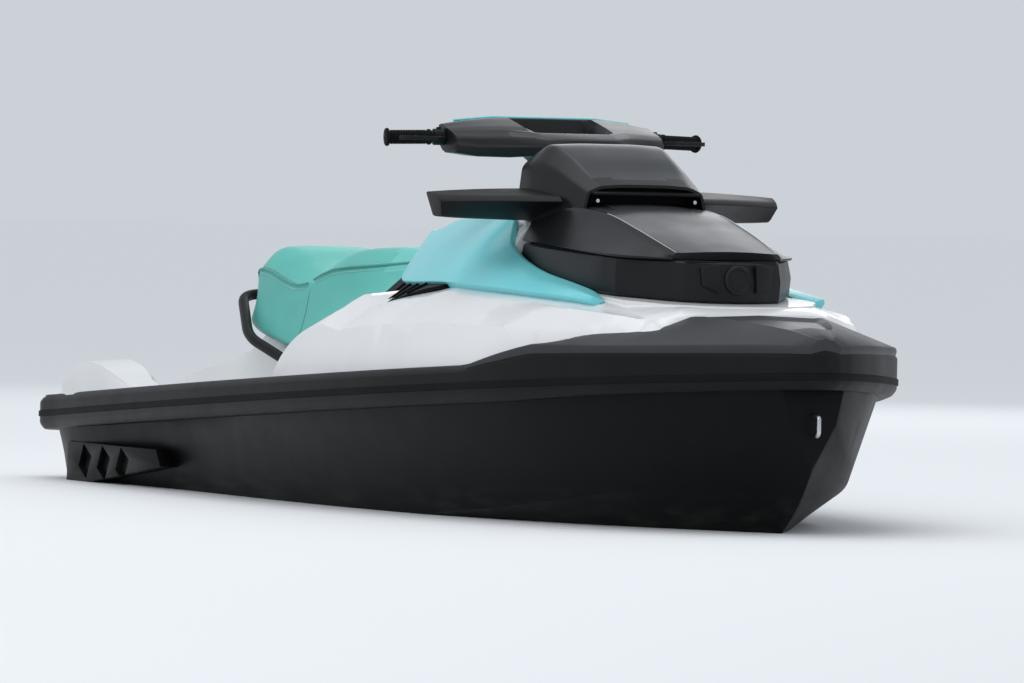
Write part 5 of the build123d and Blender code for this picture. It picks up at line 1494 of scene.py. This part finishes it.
@dataclass
class Studio:
    """Pale floor at the waterline, soft light and the camera at the photograph's angle."""

    floor_size: float = 600.0
    floor_colour: Colour = (0.86, 0.88, 0.90)
    sky_colour: Colour = (0.86, 0.89, 0.93)
    backdrop: Colour = (0.60, 0.635, 0.68)
    sky_strength: float = 0.80
    camera_at: Point = (18.012, -7.918, 0.742)
    aim_at: Point = (1.66, 0.0, 0.40)
    lens: float = 262.0
    roll: float = 1.1
    far: float = 200.0
    lamps: tuple[tuple[str, Point, float, float], ...] = (
        ("overhead", (1.6, -1.0, 7.0), 6.0, 150.0),
        ("bow_side", (8.0, -6.0, 4.5), 4.0, 90.0),
        ("stern_side", (-6.0, 5.0, 4.0), 4.0, 70.0),
    )

    def build(self) -> None:
        """Make the floor, world, lamps and camera."""
        self._floor()
        self._world()
        for name, place, size, power in self.lamps:
            self._lamp(name, place, size, power)
        self._camera()

    def _floor(self) -> None:
        """A pale matte plane at the waterline."""
        bm = bmesh.new()
        bmesh.ops.create_grid(bm, x_segments=1, y_segments=1, size=self.floor_size / 2)
        mesh = bpy.data.meshes.new("floor")
        bm.to_mesh(mesh)
        bm.free()
        floor = bpy.data.objects.new("floor", mesh)
        bpy.context.scene.collection.objects.link(floor)
        material = bpy.data.materials.new("floor_pale")
        material.use_nodes = True
        shader = material.node_tree.nodes["Principled BSDF"]
        shader.inputs["Base Color"].default_value = (*self.floor_colour, 1.0)
        shader.inputs["Roughness"].default_value = 1.0
        shader.inputs["Specular IOR Level"].default_value = 0.0
        mesh.materials.append(material)

    def _world(self) -> None:
        """An even sky for light, and a pale backdrop for the camera and reflections."""
        world = bpy.data.worlds.new("studio")
        bpy.context.scene.world = world
        world.use_nodes = True
        nodes, links = world.node_tree.nodes, world.node_tree.links
        lighting = nodes["Background"]
        lighting.inputs["Color"].default_value = (*self.sky_colour, 1.0)
        lighting.inputs["Strength"].default_value = self.sky_strength
        seen = nodes.new("ShaderNodeBackground")
        seen.inputs["Color"].default_value = (*self.backdrop, 1.0)
        path = nodes.new("ShaderNodeLightPath")
        either = nodes.new("ShaderNodeMath")
        either.operation = "MAXIMUM"
        links.new(path.outputs["Is Camera Ray"], either.inputs[0])
        links.new(path.outputs["Is Glossy Ray"], either.inputs[1])
        any_ray = nodes.new("ShaderNodeMath")
        any_ray.operation = "MAXIMUM"
        links.new(either.outputs[0], any_ray.inputs[0])
        links.new(path.outputs["Is Transmission Ray"], any_ray.inputs[1])
        mix = nodes.new("ShaderNodeMixShader")
        links.new(any_ray.outputs[0], mix.inputs["Fac"])
        links.new(lighting.outputs[0], mix.inputs[1])
        links.new(seen.outputs[0], mix.inputs[2])
        links.new(mix.outputs[0], nodes["World Output"].inputs["Surface"])

    def _lamp(self, name: str, place: Point, size: float, power: float) -> None:
        """A large square lamp that faces the craft.

        Args:
            name: The lamp's name.
            place: Where it stands.
            size: The length of its side.
            power: Its power in watts.
        """
        data = bpy.data.lights.new(name, "AREA")
        data.energy = power
        data.size = size
        lamp = bpy.data.objects.new(name, data)
        lamp.location = place
        lamp.rotation_mode = "QUATERNION"
        lamp.rotation_quaternion = (Vector(self.aim_at) - Vector(place)).to_track_quat("-Z", "Y")
        bpy.context.scene.collection.objects.link(lamp)

    def _camera(self) -> None:
        """The camera stands where the photographer's did, with a longer lens aimed at the craft."""
        data = bpy.data.cameras.new("camera")
        data.lens = self.lens
        data.clip_end = self.far
        camera = bpy.data.objects.new("camera", data)
        camera.location = self.camera_at
        camera.rotation_mode = "QUATERNION"
        look = (Vector(self.aim_at) - Vector(self.camera_at)).to_track_quat("-Z", "Y")
        camera.rotation_quaternion = look @ Quaternion((0, 0, 1), math.radians(self.roll))
        bpy.context.scene.collection.objects.link(camera)
        bpy.context.scene.camera = camera


def main() -> None:
    """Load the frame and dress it."""
    logging.basicConfig(level=logging.INFO, format="%(name)s %(message)s")
    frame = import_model()
    bpy.context.scene.view_settings.view_transform = "Standard"
    nodes = frame["nodes"]
    finish_cad_nodes(nodes)
    DeckWorks(nodes).build()
    HoodWorks().build()
    HelmWorks().build()
    SeatWorks().build()
    Fittings(nodes).build()
    Studio().build()


if __name__ == "__main__":
    main()
